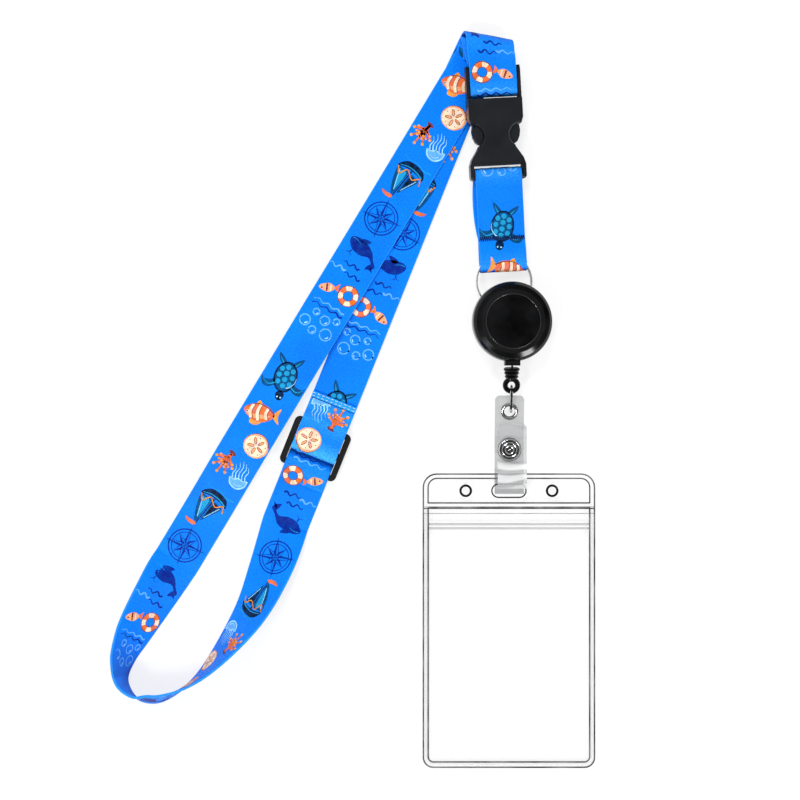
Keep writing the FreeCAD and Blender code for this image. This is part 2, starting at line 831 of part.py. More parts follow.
def release_prong(label, side):
    """Springy arm with a catch behind the mouth's shoulder and a finger bulge in the window."""
    half = [
        ("prong_pivot_x - prong_root_radius", "base_bottom_y"),
        ("prong_pivot_x + prong_root_radius", "base_bottom_y"),
        ("cavity_half_width - prong_side_gap", "shoulder_y + 0.3"),
        ("cavity_half_width - prong_side_gap", "shoulder_y - 0.3"),
        ("cavity_half_width + prong_catch", "shoulder_y - 0.3"),
        ("cavity_half_width + prong_bulge", "shoulder_y - 2.6"),
        ("cavity_half_width + prong_catch", "shoulder_y - 5"),
        ("waist_half_width + 1.4", "waist_y + 1.5"), ("waist_half_width - 0.1", "waist_y + 0.5"),
        ("waist_half_width - 1.5", "waist_y + 1.2"), ("prong_inner_x", "waist_y + 2.6"),
        ("prong_inner_x", "shoulder_y - 1.2"), ("prong_pivot_x - 1.2", "shoulder_y + 1.2"),
    ]
    corners = [(x if side > 0 else f"-({x})", y) for x, y in half]
    arm = plate(f"ProngArm{side + 1}", corners, "prong_depth", True)
    round_edges(arm, f"ProngRound{side + 1}", "prong_round", bulge_edge)
    root = cylinder(f"ProngRoot{side + 1}", "prong_root_radius", "prong_depth",
                    f"{side} * prong_pivot_x", "base_bottom_y", "-prong_depth / 2")
    node(label, fuse(f"Prong{side + 1}", arm, root), train)


def bulge_edge(edge):
    """The rims of the finger bulge, above and below, that show in the shell's window."""
    low = edge.BoundBox
    in_window = size.waist_y < low.YMin and low.YMax < size.shoulder_y
    return low.ZLength < 1e-3 and in_window and abs(low.Center.x) > size.waist_half_width


def buckle_female_shell():
    half = [
        ("mouth_half_width", "mouth_y"), ("mouth_half_width", "shoulder_y + 2.4"),
        ("shoulder_half_width", "shoulder_y"), ("waist_half_width", "waist_y"),
        ("arm_half_width - 0.9", "flare_y + 1.4"), ("arm_half_width", "flare_y - 1.2"),
        ("arm_half_width", "arm_end_y"),
    ]
    body = plate("FemaleShell", mirrored_corners(half), "mouth_depth", True)
    round_edges(body, "FemaleCorners", "shell_corner", side_corner)
    slope = sketch_on(body, "YZ_Plane", "FemaleTaper")
    for sign in ("", "-"):
        polygon(slope, [("shoulder_y + 1", f"{sign}mouth_depth / 2"), ("arm_end_y - 1", f"{sign}arm_depth / 2"),
                        ("arm_end_y - 1", f"{sign}(mouth_depth / 2 + 1)"),
                        ("shoulder_y + 1", f"{sign}(mouth_depth / 2 + 1)")])
    pocket(body, slope, "FemaleTaperCut")
    round_edges(body, "FemaleRims", "shell_round", outline_edge)
    slot = sketch_on(body, "XY_Plane", "FemaleSlot")
    polygon(slot, mirrored_corners([("arm_half_width - arm_width", "slot_top_y"),
                                    ("arm_half_width - arm_width", "arm_end_y - 1")]))
    pocket(body, slot, "FemaleSlotCut")
    lip = middle_box("FemaleLip", "slot_top_y", "-arm_depth / 2 - lip_rise", "arm_half_width - arm_width",
                     "lip_width", "arm_depth + 2 * lip_rise")
    bar = cross_rod("FemaleBar", "tab_bar_radius", "arm_half_width - arm_width + 0.2", "tab_bar_y", "0")
    cavity = middle_box("FemaleCavity", "cavity_end_y", "-cavity_depth / 2", "cavity_half_width",
                        "mouth_y - cavity_end_y + 1", "cavity_depth")
    notch = middle_box("FemaleNotch", "base_bottom_y - 0.3", "-frame_depth / 2 - 0.1", "mouth_half_width + 1",
                       "mouth_y - base_bottom_y + 1.3", "frame_depth + 0.2")
    face, straight = "mouth_depth / 2", "arm_depth / 2 + 0.3"
    windows = []
    for number, side in enumerate((-1, 1)):
        window = revolve(f"FemaleWindow{number}", [
            ("0", f"-({face})"), ("window_radius + window_flare", f"-({face})"), ("window_radius", f"-({straight})"),
            ("window_radius", straight), ("window_radius + window_flare", face), ("0", face),
        ])
        windows.append(at(window, f"{side} * (window_inner_x + window_radius)", "window_y"))
    hollow = fuse("FemaleHollow", cavity, notch, *windows)
    shell = cut("FemaleOpened", fuse("FemaleSolid", body, bar, lip), hollow)
    node("buckle_female_shell", shell, train)


def side_corner(edge):
    """The upright edges down the shell's sides, but for the mouth's."""
    return upright(edge) and edge.BoundBox.YMin < size.mouth_y - 1


def outline_edge(edge):
    """The edges between the shell's faces and its sides."""
    low = edge.BoundBox
    return min(abs(low.ZMin), abs(low.ZMax)) > size.arm_depth / 2 - 1e-3 and low.YLength > 1e-3


# ---- tab and split ring -------------------------------------------------------------------

def tab_strap():
    """A loop of webbing through the buckle's bar and round the ring, sewn across near the ring."""
    bar_turn = size.tab_bar_radius + size.wrap_gap + half_gauge
    ring_turn = size.ring_wire + 0.35 + half_gauge
    ring_y = math.sqrt(size.ring_radius**2 - (size.webbing_width / 2)**2)
    ring_top = size.ring_radius + 1.2 * size.ring_wire
    front = around_bar(size.tab_bar_y, bar_turn, 90, 0, 6, 1)
    ring_front = around_bar(ring_y, ring_turn, 0, 180, 10, -1)
    back = around_bar(size.tab_bar_y, bar_turn, 180, 90, 6, 1)
    close = size.layer_pitch / 2
    stitch = [moved(Station(Vector(0, size.tab_stitch_y, sign * close), Vector(1, 0, 0), Vector(0, 0, sign)), train)
              for sign in (1, -1)]
    spread = [moved(Station(Vector(0, ring_top, sign * ring_turn), Vector(1, 0, 0), Vector(0, 0, sign)), train)
              for sign in (1, -1)]
    webbing("tab_strap_front", front + between(front[-1], stitch[0], 4)[1:] + [spread[0]] + ring_front[:6])
    webbing("tab_strap_back", ring_front[5:] + [spread[1]] + between(stitch[1], back[0], 4) + back[1:])


def split_ring():
    """Two flat turns of wire, one on the other, with a groove between them."""
    side = [("ring_wire * 0.3", "ring_wire"), ("ring_wire * 0.55", "ring_wire * 0.5"), ("ring_wire * 0.4", "0")]
    outer = side + [(x, f"-{z}") for x, z in reversed(side[:-1])]
    outline = [(f"ring_radius + {x}", z) for x, z in outer]
    outline += [(f"ring_radius - {x}", z) for x, z in reversed(outer)]
    node("split_ring", revolve("Ring", outline), train)


# ---- badge reel ---------------------------------------------------------------------------

def reel_shells():
    back = revolve("BackShell", [
        ("axle_radius", "0"), ("reel_radius - 0.6", "0"), ("reel_radius", "0.6"), ("reel_radius", "reel_split"),
        ("reel_radius - reel_wall", "reel_split"), ("reel_radius - reel_wall", "reel_floor"),
        ("axle_radius", "reel_floor"),
    ])
    front = revolve("FrontCover", [
        ("0", "reel_height - disc_gauge - 0.1"), ("disc_radius + 0.15", "reel_height - disc_gauge - 0.1"),
        ("disc_radius + 0.15", "reel_height - 0.25"), ("disc_radius + 0.4", "reel_height"),
        ("reel_radius - 3.2", "reel_height"),
        ("reel_radius - 1.3", "reel_height - 0.7"), ("reel_radius - 0.3", "reel_height - 1.9"),
        ("reel_radius", "reel_height - 3.2"), ("reel_radius", "reel_split"),
        ("reel_radius - reel_wall", "reel_split"), ("reel_radius - reel_wall", "reel_height - 3.4"),
        ("reel_radius - 3.4", "reel_height - disc_gauge - 1.1"), ("0", "reel_height - disc_gauge - 1.1"),
    ])
    for label, shell in (("reel_back_shell", back), ("reel_front_cover", front)):
        gap = box(label.title() + "Gap", "-nozzle_width / 2 - 0.05", "-reel_radius - 1", nozzle_floor + " - 0.05",
                  "nozzle_width + 0.1", "reel_wall + 1.6", "nozzle_height + 0.1")
        node(label, cut(label.title() + "Notched", shell, gap), reel)
    under, over = "reel_height - disc_gauge - 0.1", "reel_height - 0.1"
    disc = revolve("Disc", [("0", under), ("disc_radius", under), ("disc_radius", over + " - 0.2"),
                            ("disc_radius - 0.2", over), ("0", over)])
    node("reel_cap_disc", disc, reel)


cord_level = "(reel_floor + 2 * flange_gauge + spool_lift + cord_width / 2)"
nozzle_floor = f"({cord_level} - nozzle_height / 2)"


def reel_inside():
    axle = revolve("Axle", [
        ("rivet_radius", "0"), ("axle_radius", "0"), ("axle_radius", "reel_height - disc_gauge - 1.1"),
        ("0", "reel_height - disc_gauge - 1.1"), ("0", "reel_floor + 2"), ("rivet_radius", "reel_floor + 2"),
    ])
    node("reel_axle", axle, reel)
    floor, top = "reel_floor + spool_lift", "reel_floor + spool_lift + 2 * flange_gauge + cord_width"
    spool = revolve("Spool", [
        ("axle_radius + spool_gap", floor), ("spool_radius", floor), ("spool_radius", f"{floor} + flange_gauge"),
        ("drum_radius", f"{floor} + flange_gauge"), ("drum_radius", f"{top} - flange_gauge"),
        ("spool_radius", f"{top} - flange_gauge"), ("spool_radius", top), ("drum_radius - drum_wall", top),
        ("drum_radius - drum_wall", f"{floor} + flange_gauge"), ("axle_radius + spool_gap", f"{floor} + flange_gauge"),
    ])
    node("cord_spool", spool, reel)
    winding = revolve("Winding", [
        ("drum_radius + 0.02", f"{floor} + flange_gauge + 0.02"), ("winding_radius", f"{floor} + flange_gauge + 0.02"),
        ("winding_radius", f"{top} - flange_gauge - 0.02"), ("drum_radius + 0.02", f"{top} - flange_gauge - 0.02"),
    ])
    node("cord_winding", winding, reel)


def spiral_spring():
    """A flat strip that winds from the axle out to the drum."""
    inner = size.axle_radius + 0.1 + size.spring_gauge / 2
    outer = size.drum_radius - size.drum_wall - 0.1 - size.spring_gauge / 2
    steps = int(size.spring_turns * 14)
    line = []
    for i in range(steps + 1):
        turn = 2 * math.pi * size.spring_turns * i / steps
        radius = inner + (outer - inner) * i / steps
        line.append((radius, turn))
    edge = size.spring_gauge / 2
    floor = size.reel_floor + size.spool_lift + size.flange_gauge + 0.1
    points = [Vector((r + edge) * math.cos(t), (r + edge) * math.sin(t), floor) for r, t in line]
    points += [Vector((r - edge) * math.cos(t), (r - edge) * math.sin(t), floor) for r, t in reversed(line)]
    face = Part.Face(Part.makePolygon(points + points[:1]))
    soft("spiral_spring", face.extrude(Vector(0, 0, size.cord_width)), reel)


def cord_path():
    """The pull cord runs from the winding's edge to the nozzle's mouth."""
    throat = Vector(0, -size.reel_radius + size.reel_wall / 2, cord_height)
    radius = size.winding_radius + size.cord_radius + 0.05
    swing = math.acos(radius / -throat.y)
    touch = Vector(radius * math.sin(-swing), -radius * math.cos(swing), cord_height)
    way = throat - touch
    slant = Part.makeCylinder(size.cord_radius, way.Length, touch, way)
    knee = Part.makeSphere(size.cord_radius, throat)
    drop = size.reel_radius + size.nozzle_beyond + stop_room - 0.2 + throat.y
    straight = Part.makeCylinder(size.cord_radius, drop, throat, Y_AXIS * -1)
    soft("cord_tail", slant.fuse([knee, straight]).removeSplitter(), reel)


def cord_nozzle():
    block = middle_box("NozzleBlock", "-reel_radius - nozzle_beyond", nozzle_floor, "nozzle_width / 2",
                       "nozzle_beyond + reel_wall", "nozzle_height")
    bore = doc.addObject("Part::Cone", "NozzleBore")
    bind(bore, Radius1="cord_radius + 0.3", Radius2="2.4", Height="nozzle_beyond + reel_wall + 1")
    at(bore, "0", "-reel_radius - nozzle_beyond - 0.5", cord_level, X_AXIS, -90)
    node("cord_nozzle", cut("Nozzle", block, bore), reel)


def belt_clip():
    """Spring strip riveted to the back, bent round the ring's wire."""
    half_width = "clip_strip_width / 2"
    plate_part = middle_box("ClipPlate", "-4.5", "-clip_strip_gauge", half_width, "clip_bend_y + 4.5",
                            "clip_strip_gauge")
    tongue = middle_box("ClipTongue", "-clip_tongue", "-clip_strip_height", half_width,
                        "clip_bend_y + clip_tongue", "clip_strip_gauge")
    outside = cross_rod("ClipBendOut", "clip_strip_height / 2", half_width, "clip_bend_y",
                        "-clip_strip_height / 2")
    inside = cross_rod("ClipBendIn", "clip_strip_height / 2 - clip_strip_gauge", "clip_strip_width",
                       "clip_bend_y", "-clip_strip_height / 2")
    keep = middle_box("ClipBendKeep", "clip_bend_y", "-clip_strip_height - 1", "clip_strip_width",
                      "clip_strip_height", "clip_strip_height + 2")
    bend = common("ClipBend", cut("ClipBendRing", outside, inside), keep)
    lip = middle_box("ClipLip", "-clip_tongue", "-clip_strip_height", half_width, "clip_strip_gauge",
                     "clip_strip_gauge + 0.7")
    hole = cylinder("ClipRivetHole", "rivet_radius", "4", z="-3")
    node("belt_clip", cut("BeltClip", fuse("ClipStrip", plate_part, tongue, bend, lip), hole), reel)
    rivet = revolve("Rivet", [
        ("0", "-clip_strip_gauge - 0.6"), ("rivet_radius + 0.9", "-clip_strip_gauge - 0.45"),
        ("rivet_radius + 1.1", "-clip_strip_gauge"), ("rivet_radius", "-clip_strip_gauge"),
        ("rivet_radius", "reel_floor + 1.9"), ("0", "reel_floor + 1.9"),
    ])
    node("clip_rivet", rivet, reel)


# ---- cord end and wire link ---------------------------------------------------------------

def cord_stop():
    """Ribbed strain relief that ends in a round eye."""
    ribs = []
    pitch, core = "stop_length / stop_ribs", "stop_radius - rib_depth"
    for number in range(int(size.stop_ribs)):
        rib, start = f"stop_radius - {number} * rib_taper", f"-{number} * {pitch}"
        ribs += [(f"{rib} - rib_round", start), (rib, f"{start} - 0.3 * {pitch}"),
                 (f"{rib} - rib_round", f"{start} - 0.6 * {pitch}"), (core, f"{start} - 0.7 * {pitch}")]
    ribs.append((core, "-stop_length"))
    body = doc.addObject("PartDesign::Body", "StopBody")
    outline = sketch_on(body, "XY_Plane", "StopOutline")
    polygon(outline, [("0", "0")] + ribs + [("0", "-stop_length")])
    turned = body.newObject("PartDesign::Revolution", "StopTurn")
    turned.Profile = outline
    turned.ReferenceAxis = (outline, ["V_Axis"])
    turned.Angle = 360
    eye = at(revolve("StopEye", round_wire("eye_radius", "eye_wire")), y="-eye_reach")
    node("cord_stop", fuse("Stop", body, eye), stop)


def wire_link():
    """Closed link of round wire that stands on edge through the eye and the eyelet."""
    ends = []
    for number, (y, angle) in enumerate((("0", 0), ("-link_length", 180))):
        end = revolve(f"LinkEnd{number}", round_wire("link_radius", "link_wire"), 180)
        end.Placement = Placement(Vector(), Rotation(Y_AXIS, 90) * Rotation(Z_AXIS, angle))
        end.setExpression("Placement.Base.y", bound(y))
        ends.append(end)
    legs = []
    for number, side in enumerate((-1, 1)):
        leg = bind(doc.addObject("Part::Prism", f"LinkLeg{number}"), Circumradius="link_wire", Height="link_length")
        leg.Polygon = 8
        legs.append(at(leg, "0", "-link_length", f"{side} * link_radius", X_AXIS, -90))
    node("wire_link", fuse("Link", *ends, *legs), link)


# ---- vinyl strap clip ---------------------------------------------------------------------

def end_corner(place):
    """The upright edges at a strap's end, whose Y is one of the sizes."""
    return lambda edge: upright(edge) and abs(edge.BoundBox.YMin - getattr(size, place)) < 1e-3


def clip_strap_back():
    slope = "tan(vinyl_slope)"
    bend_y = "(vinyl_snap_y + snap_flat)"
    strap = side_plate("BackStrap", [
        ("vinyl_fold_radius", "0"), ("vinyl_snap_y - snap_flat", "vinyl_snap_rise"), (bend_y, "vinyl_snap_rise"),
        ("vinyl_top_y", f"vinyl_snap_rise + (vinyl_top_y - {bend_y}) * {slope}"),
        ("vinyl_top_y", f"vinyl_snap_rise + (vinyl_top_y - {bend_y}) * {slope} + vinyl_gauge"),
        (bend_y, "vinyl_snap_rise + vinyl_gauge"), ("vinyl_snap_y - snap_flat", "vinyl_snap_rise + vinyl_gauge"),
        ("vinyl_fold_radius", "vinyl_gauge"),
    ], "vinyl_width")
    round_edges(strap, "BackCorners", "vinyl_corner", end_corner("vinyl_top_y"))
    outside = cross_rod("FoldOut", "vinyl_fold_radius", "vinyl_width / 2", "vinyl_fold_radius", "vinyl_fold_radius")
    inside = cross_rod("FoldIn", "vinyl_fold_radius - vinyl_gauge", "vinyl_width", "vinyl_fold_radius",
                       "vinyl_fold_radius")
    keep = middle_box("FoldKeep", "-1", "-1", "vinyl_width", "vinyl_fold_radius + 1", "vinyl_fold_radius * 2 + 2")
    fold = common("Fold", cut("FoldRing", outside, inside), keep)
    eyelet_hole = cylinder("StrapEyeletHole", "eyelet_hole + 0.4", "12", y="vinyl_eyelet_y", z="-4")
    stud_hole = cylinder("StrapStudHole", "stud_post_radius", "3", y="vinyl_snap_y", z="-1")
    whole = cut("BackStrapWhole", fuse("BackStrapSolid", strap, fold), fuse("BackHoles", eyelet_hole, stud_hole))
    node("clip_strap_back", whole, vinyl)
    seat = Vector(0, size.vinyl_eyelet_y, eyelet_height - size.vinyl_floor)
    ring = revolve("Eyelet", [
        ("eyelet_hole", "-vinyl_gauge / 2 - eyelet_gauge"), ("eyelet_flange", "-vinyl_gauge / 2 - eyelet_gauge"),
        ("eyelet_flange", "-vinyl_gauge / 2"), ("eyelet_hole + 0.25", "-vinyl_gauge / 2"),
        ("eyelet_hole + 0.25", "vinyl_gauge / 2"), ("eyelet_flange", "vinyl_gauge / 2"),
        ("eyelet_flange", "vinyl_gauge / 2 + eyelet_gauge"), ("eyelet_hole", "vinyl_gauge / 2 + eyelet_gauge"),
    ])
    node("clip_eyelet", ring, vinyl * Placement(seat, Rotation(X_AXIS, size.vinyl_slope)))
    level = "vinyl_snap_rise"
    stud = revolve("Stud", [
        ("0", f"{level} - 0.4"), ("stud_flange_radius", f"{level} - 0.4"), ("stud_flange_radius", level),
        ("stud_post_radius", level), ("stud_post_radius", f"{level} + vinyl_gauge"),
        ("stud_collar_radius", f"{level} + vinyl_gauge"), ("stud_collar_radius", f"{level} + vinyl_gauge + 0.4"),
        ("snap_knob_radius - 0.2", f"{level} + vinyl_gauge + 0.4"),
        ("snap_knob_radius", f"{level} + vinyl_gauge + 0.8"), ("snap_knob_radius - 0.3", f"{level} + vinyl_gauge + 1.1"),
        ("0", f"{level} + vinyl_gauge + 1.1"),
    ])
    node("snap_stud", stud, vinyl * Placement(Vector(0, size.vinyl_snap_y, 0), Rotation()))


def clip_strap_flap():
    shifted = vinyl * Placement(Vector(size.flap_offset_x, 0, 0), Rotation())
    top = "2 * vinyl_fold_radius"
    flap = side_plate("Flap", [
        ("vinyl_fold_radius + 0.02", f"{top} - vinyl_gauge"), ("flap_fold_end", f"{top} - vinyl_gauge"),
        ("vinyl_snap_y - snap_flat", "flap_snap_z"), ("vinyl_snap_y + snap_flat", "flap_snap_z"),
        ("flap_end_y", "flap_snap_z + 0.4"),
        ("flap_end_y", "flap_snap_z + 0.4 + vinyl_gauge"), ("vinyl_snap_y + snap_flat", "flap_snap_z + vinyl_gauge"),
        ("vinyl_snap_y - snap_flat", "flap_snap_z + vinyl_gauge"), ("flap_fold_end", top),
        ("vinyl_fold_radius + 0.02", top),
    ], "vinyl_width")
    round_edges(flap, "FlapCorners", "vinyl_corner", end_corner("flap_end_y"))
    hole = cylinder("FlapHole", "cap_post_radius", "4", x="-flap_offset_x", y="vinyl_snap_y", z="flap_snap_z - 1")
    node("clip_strap_flap", cut("FlapWhole", flap, hole), shifted)
    snap_seat = vinyl * Placement(Vector(0, size.vinyl_snap_y, 0), Rotation())
    socket = revolve("Socket", [
        ("0", "flap_snap_z - 0.2"), ("snap_knob_radius + snap_clearance", "flap_snap_z - 0.2"),
        ("snap_knob_radius + snap_clearance", "flap_snap_z - 0.85"), ("socket_radius", "flap_snap_z - 0.85"),
        ("socket_radius", "flap_snap_z"), ("0", "flap_snap_z"),
    ])
    node("snap_socket", socket, snap_seat)
    over = "flap_snap_z + vinyl_gauge"
    cap = revolve("Cap", [
        ("0", "flap_snap_z"), ("cap_post_radius", "flap_snap_z"), ("cap_post_radius", over), ("snap_cap_radius", over),
        ("snap_cap_radius", f"{over} + 0.35"), ("snap_cap_radius - 0.5", f"{over} + snap_cap_height - 0.1"),
        ("snap_cap_radius - 1.1", f"{over} + snap_cap_height - 0.25"),
        ("snap_cap_radius - 1.7", f"{over} + snap_cap_height"), ("snap_cap_radius - 2.5", f"{over} + snap_cap_height"),
        ("snap_cap_radius - 3.0", f"{over} + snap_cap_height - 0.3"), ("0", f"{over} + snap_cap_height - 0.2"),
    ])
    node("snap_cap", cap, snap_seat)


# ---- badge holder -------------------------------------------------------------------------

def rounded_sheet(name, top, bottom, inset, thickness):
    """A sheet between two distances below the holder's top edge."""
    half = f"(holder_width / 2 - {inset})"
    return plate(name, mirrored_corners([(half, f"-({bottom})"), (half, f"-({top})")]), thickness)


def holder_holes(name):
    holes = [cylinder(f"{name}Hole{i}", "hole_radius", "4", f"{side} * hole_spacing / 2", "-slot_drop", "-1")
             for i, side in enumerate((-1, 1))]
    flat = "(slot_width / 2 - slot_height / 2)"
    slot = [middle_box(f"{name}Slot", "-slot_drop - slot_height / 2", "-1", flat, "slot_height", "4")]
    slot += [cylinder(f"{name}SlotEnd{i}", "slot_height / 2", "4", f"{side} * {flat}", "-slot_drop", "-1")
             for i, side in enumerate((-1, 1))]
    return fuse(f"{name}Cuts", *holes, *slot)


def corner_at(y):
    return lambda edge: upright(edge) and abs(edge.BoundBox.YMin - y) < 1e-3


def badge_holder():
    back = rounded_sheet("HolderBack", "0", "holder_length", "0", "holder_sheet")
    round_edges(back, "HolderBackTop", "holder_top_corner", corner_at(0.0))
    round_edges(back, "HolderBackFoot", "holder_bottom_corner", corner_at(-size.holder_length))
    node("holder_back_sheet", cut("HolderBackWhole", back, holder_holes("Back")), holder)

    level = "holder_sheet + holder_pocket"
    header = rounded_sheet("HolderHeader", "0", "header_height", "0", "holder_sheet + holder_pocket")
    round_edges(header, "HolderHeaderTop", "holder_top_corner", corner_at(0.0))
    lift = Placement(Vector(0, 0, size.holder_sheet), Rotation())
    node("holder_header", cut("HolderHeaderWhole", header, holder_holes("Header")), holder * lift)

    front = rounded_sheet("HolderFront", "header_height + mouth_gap", "holder_length", "0", "holder_sheet")
    round_edges(front, "HolderFrontFoot", "holder_bottom_corner", corner_at(-size.holder_length))
    high = Placement(Vector(0, 0, size.holder_sheet + size.holder_pocket), Rotation())
    node("holder_front_sheet", front, holder * high)

    frame = rounded_sheet("HolderWeld", "header_height + mouth_gap", "holder_length", "0", "holder_pocket")
    round_edges(frame, "HolderWeldFoot", "holder_bottom_corner", corner_at(-size.holder_length))
    inside = rounded_sheet("HolderPocket", "header_height - 5", "holder_length - holder_weld", "holder_weld",
                           "3 * holder_pocket")
    node("holder_edge_weld", cut("HolderWeldWhole", frame, inside), holder * lift)

    reach = "holder_width / 2 - holder_weld - 0.3"
    groove = []
    for number in range(2):
        groove.append(middle_box(f"ZipGroove{number}", f"-zip_drop - {number} * (zip_width + 0.5)", "0", reach,
                                 "zip_width / 3", "holder_pocket * 0.45"))
    node("zip_groove", fuse("ZipGroove", *groove), holder * lift)
    ribs = [middle_box(f"ZipRib{number}", f"-zip_drop - zip_width * 0.4 - {number} * (zip_width + 0.5)", "0", reach,
                       "zip_width / 3", "holder_pocket * 0.45") for number in range(2)]
    top = Placement(Vector(0, 0, size.holder_sheet + size.holder_pocket * 0.55), Rotation())
    node("zip_rib", fuse("ZipRibs", *ribs), holder * top)


strap_left_run()
strap_bottom_bend()
strap_lower_run()
strap_right_runs()
strap_over_top()
adjuster_flap()
adjuster_slider()
buckle_male_frame()
release_prong("release_prong_left", -1)
release_prong("release_prong_right", 1)
buckle_female_shell()
tab_strap()
split_ring()
reel_shells()
reel_inside()
spiral_spring()
cord_path()
cord_nozzle()
belt_clip()
cord_stop()
wire_link()
clip_strap_back()
clip_strap_flap()
badge_holder()

doc.recompute()
for thing in doc.Objects:
    if "Invalid" in thing.State or "Error" in thing.State:
        raise RuntimeError(f"{thing.Name} ({thing.Label}) failed: {thing.State}")
for thing in nodes:
    if thing.Shape.isNull() or not thing.Shape.isValid() or thing.Shape.Volume <= 0:
        raise RuntimeError(f"{thing.Label} has no sound shape")

os.makedirs("parts", exist_ok=True)
for thing in nodes:
    thing.Shape.exportStep(f"parts/{thing.Label}.step")
    bounds = thing.Shape.BoundBox
    print(f"{thing.Label:22s} {thing.Shape.Volume:9.1f} mm3  solids {len(thing.Shape.Solids)}"
          f"  z {bounds.ZMin:6.2f} to {bounds.ZMax:6.2f}")
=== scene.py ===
# %% [markdown]
# # A badge lanyard, laid flat
# Printed webbing runs through an adjuster slider and a side-release buckle. A split ring carries a
# badge reel, and a snap strap hangs a clear holder from the reel's cord. Places come from the packed
# model, and from the sizes that its strap was built with.

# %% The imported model
import bisect
import math
from collections import namedtuple

import bmesh
import bpy
from mathutils import Matrix, Vector


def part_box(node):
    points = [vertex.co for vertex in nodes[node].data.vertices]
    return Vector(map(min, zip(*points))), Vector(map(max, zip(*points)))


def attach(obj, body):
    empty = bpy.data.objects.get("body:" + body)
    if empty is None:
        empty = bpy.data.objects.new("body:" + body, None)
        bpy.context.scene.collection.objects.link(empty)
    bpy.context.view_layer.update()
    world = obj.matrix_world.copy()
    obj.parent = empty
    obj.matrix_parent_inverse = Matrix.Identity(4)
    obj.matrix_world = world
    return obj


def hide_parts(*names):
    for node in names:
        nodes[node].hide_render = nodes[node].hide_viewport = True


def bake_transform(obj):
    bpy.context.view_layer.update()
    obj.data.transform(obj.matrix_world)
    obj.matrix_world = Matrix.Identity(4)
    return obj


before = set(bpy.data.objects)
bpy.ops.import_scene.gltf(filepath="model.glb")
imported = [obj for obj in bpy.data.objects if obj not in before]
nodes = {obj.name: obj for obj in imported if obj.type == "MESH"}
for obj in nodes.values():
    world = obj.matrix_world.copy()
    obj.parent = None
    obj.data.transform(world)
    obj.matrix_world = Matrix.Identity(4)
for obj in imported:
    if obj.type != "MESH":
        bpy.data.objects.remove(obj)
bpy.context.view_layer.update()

MM = 0.001
UP = Vector((0, 0, 1))
scene = bpy.context.scene
scene.view_settings.view_transform = "Standard"


# %% Objects
def linked(name, data):
    made = bpy.data.objects.new(name, data)
    scene.collection.objects.link(made)
    return made


def new_piece(name, mesh, paint):
    """An object from a bmesh, at the origin, with its finish."""
    data = bpy.data.meshes.new(name)
    mesh.to_mesh(data)
    mesh.free()
    piece = linked(name, data)
    data.materials.append(paint)
    return piece


def smooth(piece):
    for face in piece.data.polygons:
        face.use_smooth = True
    return piece


def middle_of(name):
    low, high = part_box(name)
    return (low + high) / 2


# %% [markdown]
# ## Camera
# The lanyard is seen straight from above, with the loop's top at the top. A long lens keeps the
# sides of the tall pieces almost out of sight, as a product shot does.

# %% Camera
VIEW_WIDTH = 325.2 * MM
VIEW_MIDDLE = (18.0 * MM, -0.15 * MM)
LENS = 85.0
SENSOR = 36.0

camera_data = bpy.data.cameras.new("Camera")
camera_data.lens = LENS
camera_data.sensor_width = SENSOR
camera_data.clip_start = 0.01
camera = linked("Camera", camera_data)
camera.location = (*VIEW_MIDDLE, VIEW_WIDTH * LENS / SENSOR)
scene.camera = camera

# %% [markdown]
# ## Node graphs
# Light, floor and finishes are node graphs. A few short calls build them: wherever a value is
# asked for, it may be a number, a colour or another node's output.

# %% Graph
def grey(level):
    return (level, level, level, 1)


class Graph:
    def __init__(self, tree):
        self.tree = tree

    def feed(self, socket, value):
        if isinstance(value, bpy.types.NodeSocket):
            self.tree.links.new(value, socket)
        else:
            socket.default_value = value

    def set(self, node, **values):
        """Feed inputs by name, with _ for a space."""
        for name, value in values.items():
            self.feed(node.inputs[name.replace("_", " ")], value)

    def node(self, kind, *values, **settings):
        """A node: values feed its first inputs, settings in capitals an input of that name, and other
        settings are attributes."""
        made = self.tree.nodes.new("ShaderNode" + kind)
        for name, value in settings.items():
            if name[0].isupper():
                self.set(made, **{name: value})
            else:
                setattr(made, name, value)
        for socket, value in zip(made.inputs, values):
            self.feed(socket, value)
        return made

    def math(self, operation, *values):
        return self.node("Math", *values, operation=operation).outputs[0]

    def mul(self, first, second):
        return self.math("MULTIPLY", first, second)

    def add(self, first, second):
        return self.math("ADD", first, second)

    def wave(self, value, turns):
        return self.math("SINE", self.mul(value, turns))

    def spread(self, value, low, high, out_low=0.0, out_high=1.0):
        """A value carried from one range to another, and held within it."""
        return self.node("MapRange", value, low, high, out_low, out_high).outputs[0]

    def mix(self, share, first, second, blend="MIX"):
        """A colour between two, or one multiplied by the other."""
        made = self.node("Mix", share, data_type="RGBA", blend_type=blend)
        self.feed(made.inputs[6], first)
        self.feed(made.inputs[7], second)
        return made.outputs[2]

    def noise(self, vector, scale, detail=2.0):
        return self.node("TexNoise", Vector=vector, Scale=scale, Detail=detail).outputs["Fac"]

    def split(self, vector):
        return self.node("SeparateXYZ", vector).outputs

    def straight_rays(self):
        """1 for what the camera sees itself, also through clear pieces."""
        rays = self.node("LightPath").outputs
        return self.math("MAXIMUM", rays["Is Camera Ray"], rays["Is Transmission Ray"])


class Finish(Graph):
    """A material with one Principled shader."""

    def __init__(self, name):
        self.paint = bpy.data.materials.new(name)
        self.paint.use_nodes = True
        super().__init__(self.paint.node_tree)
        self.shader = self.tree.nodes["Principled BSDF"]

    def place(self):
        return self.node("TexCoord").outputs["Object"]

    def bump(self, height, strength, distance):
        raised = self.node("Bump", Height=height, Strength=strength, Distance=distance)
        self.set(self.shader, Normal=raised.outputs[0])

    def done(self, **values):
        self.set(self.shader, **values)
        return self.paint


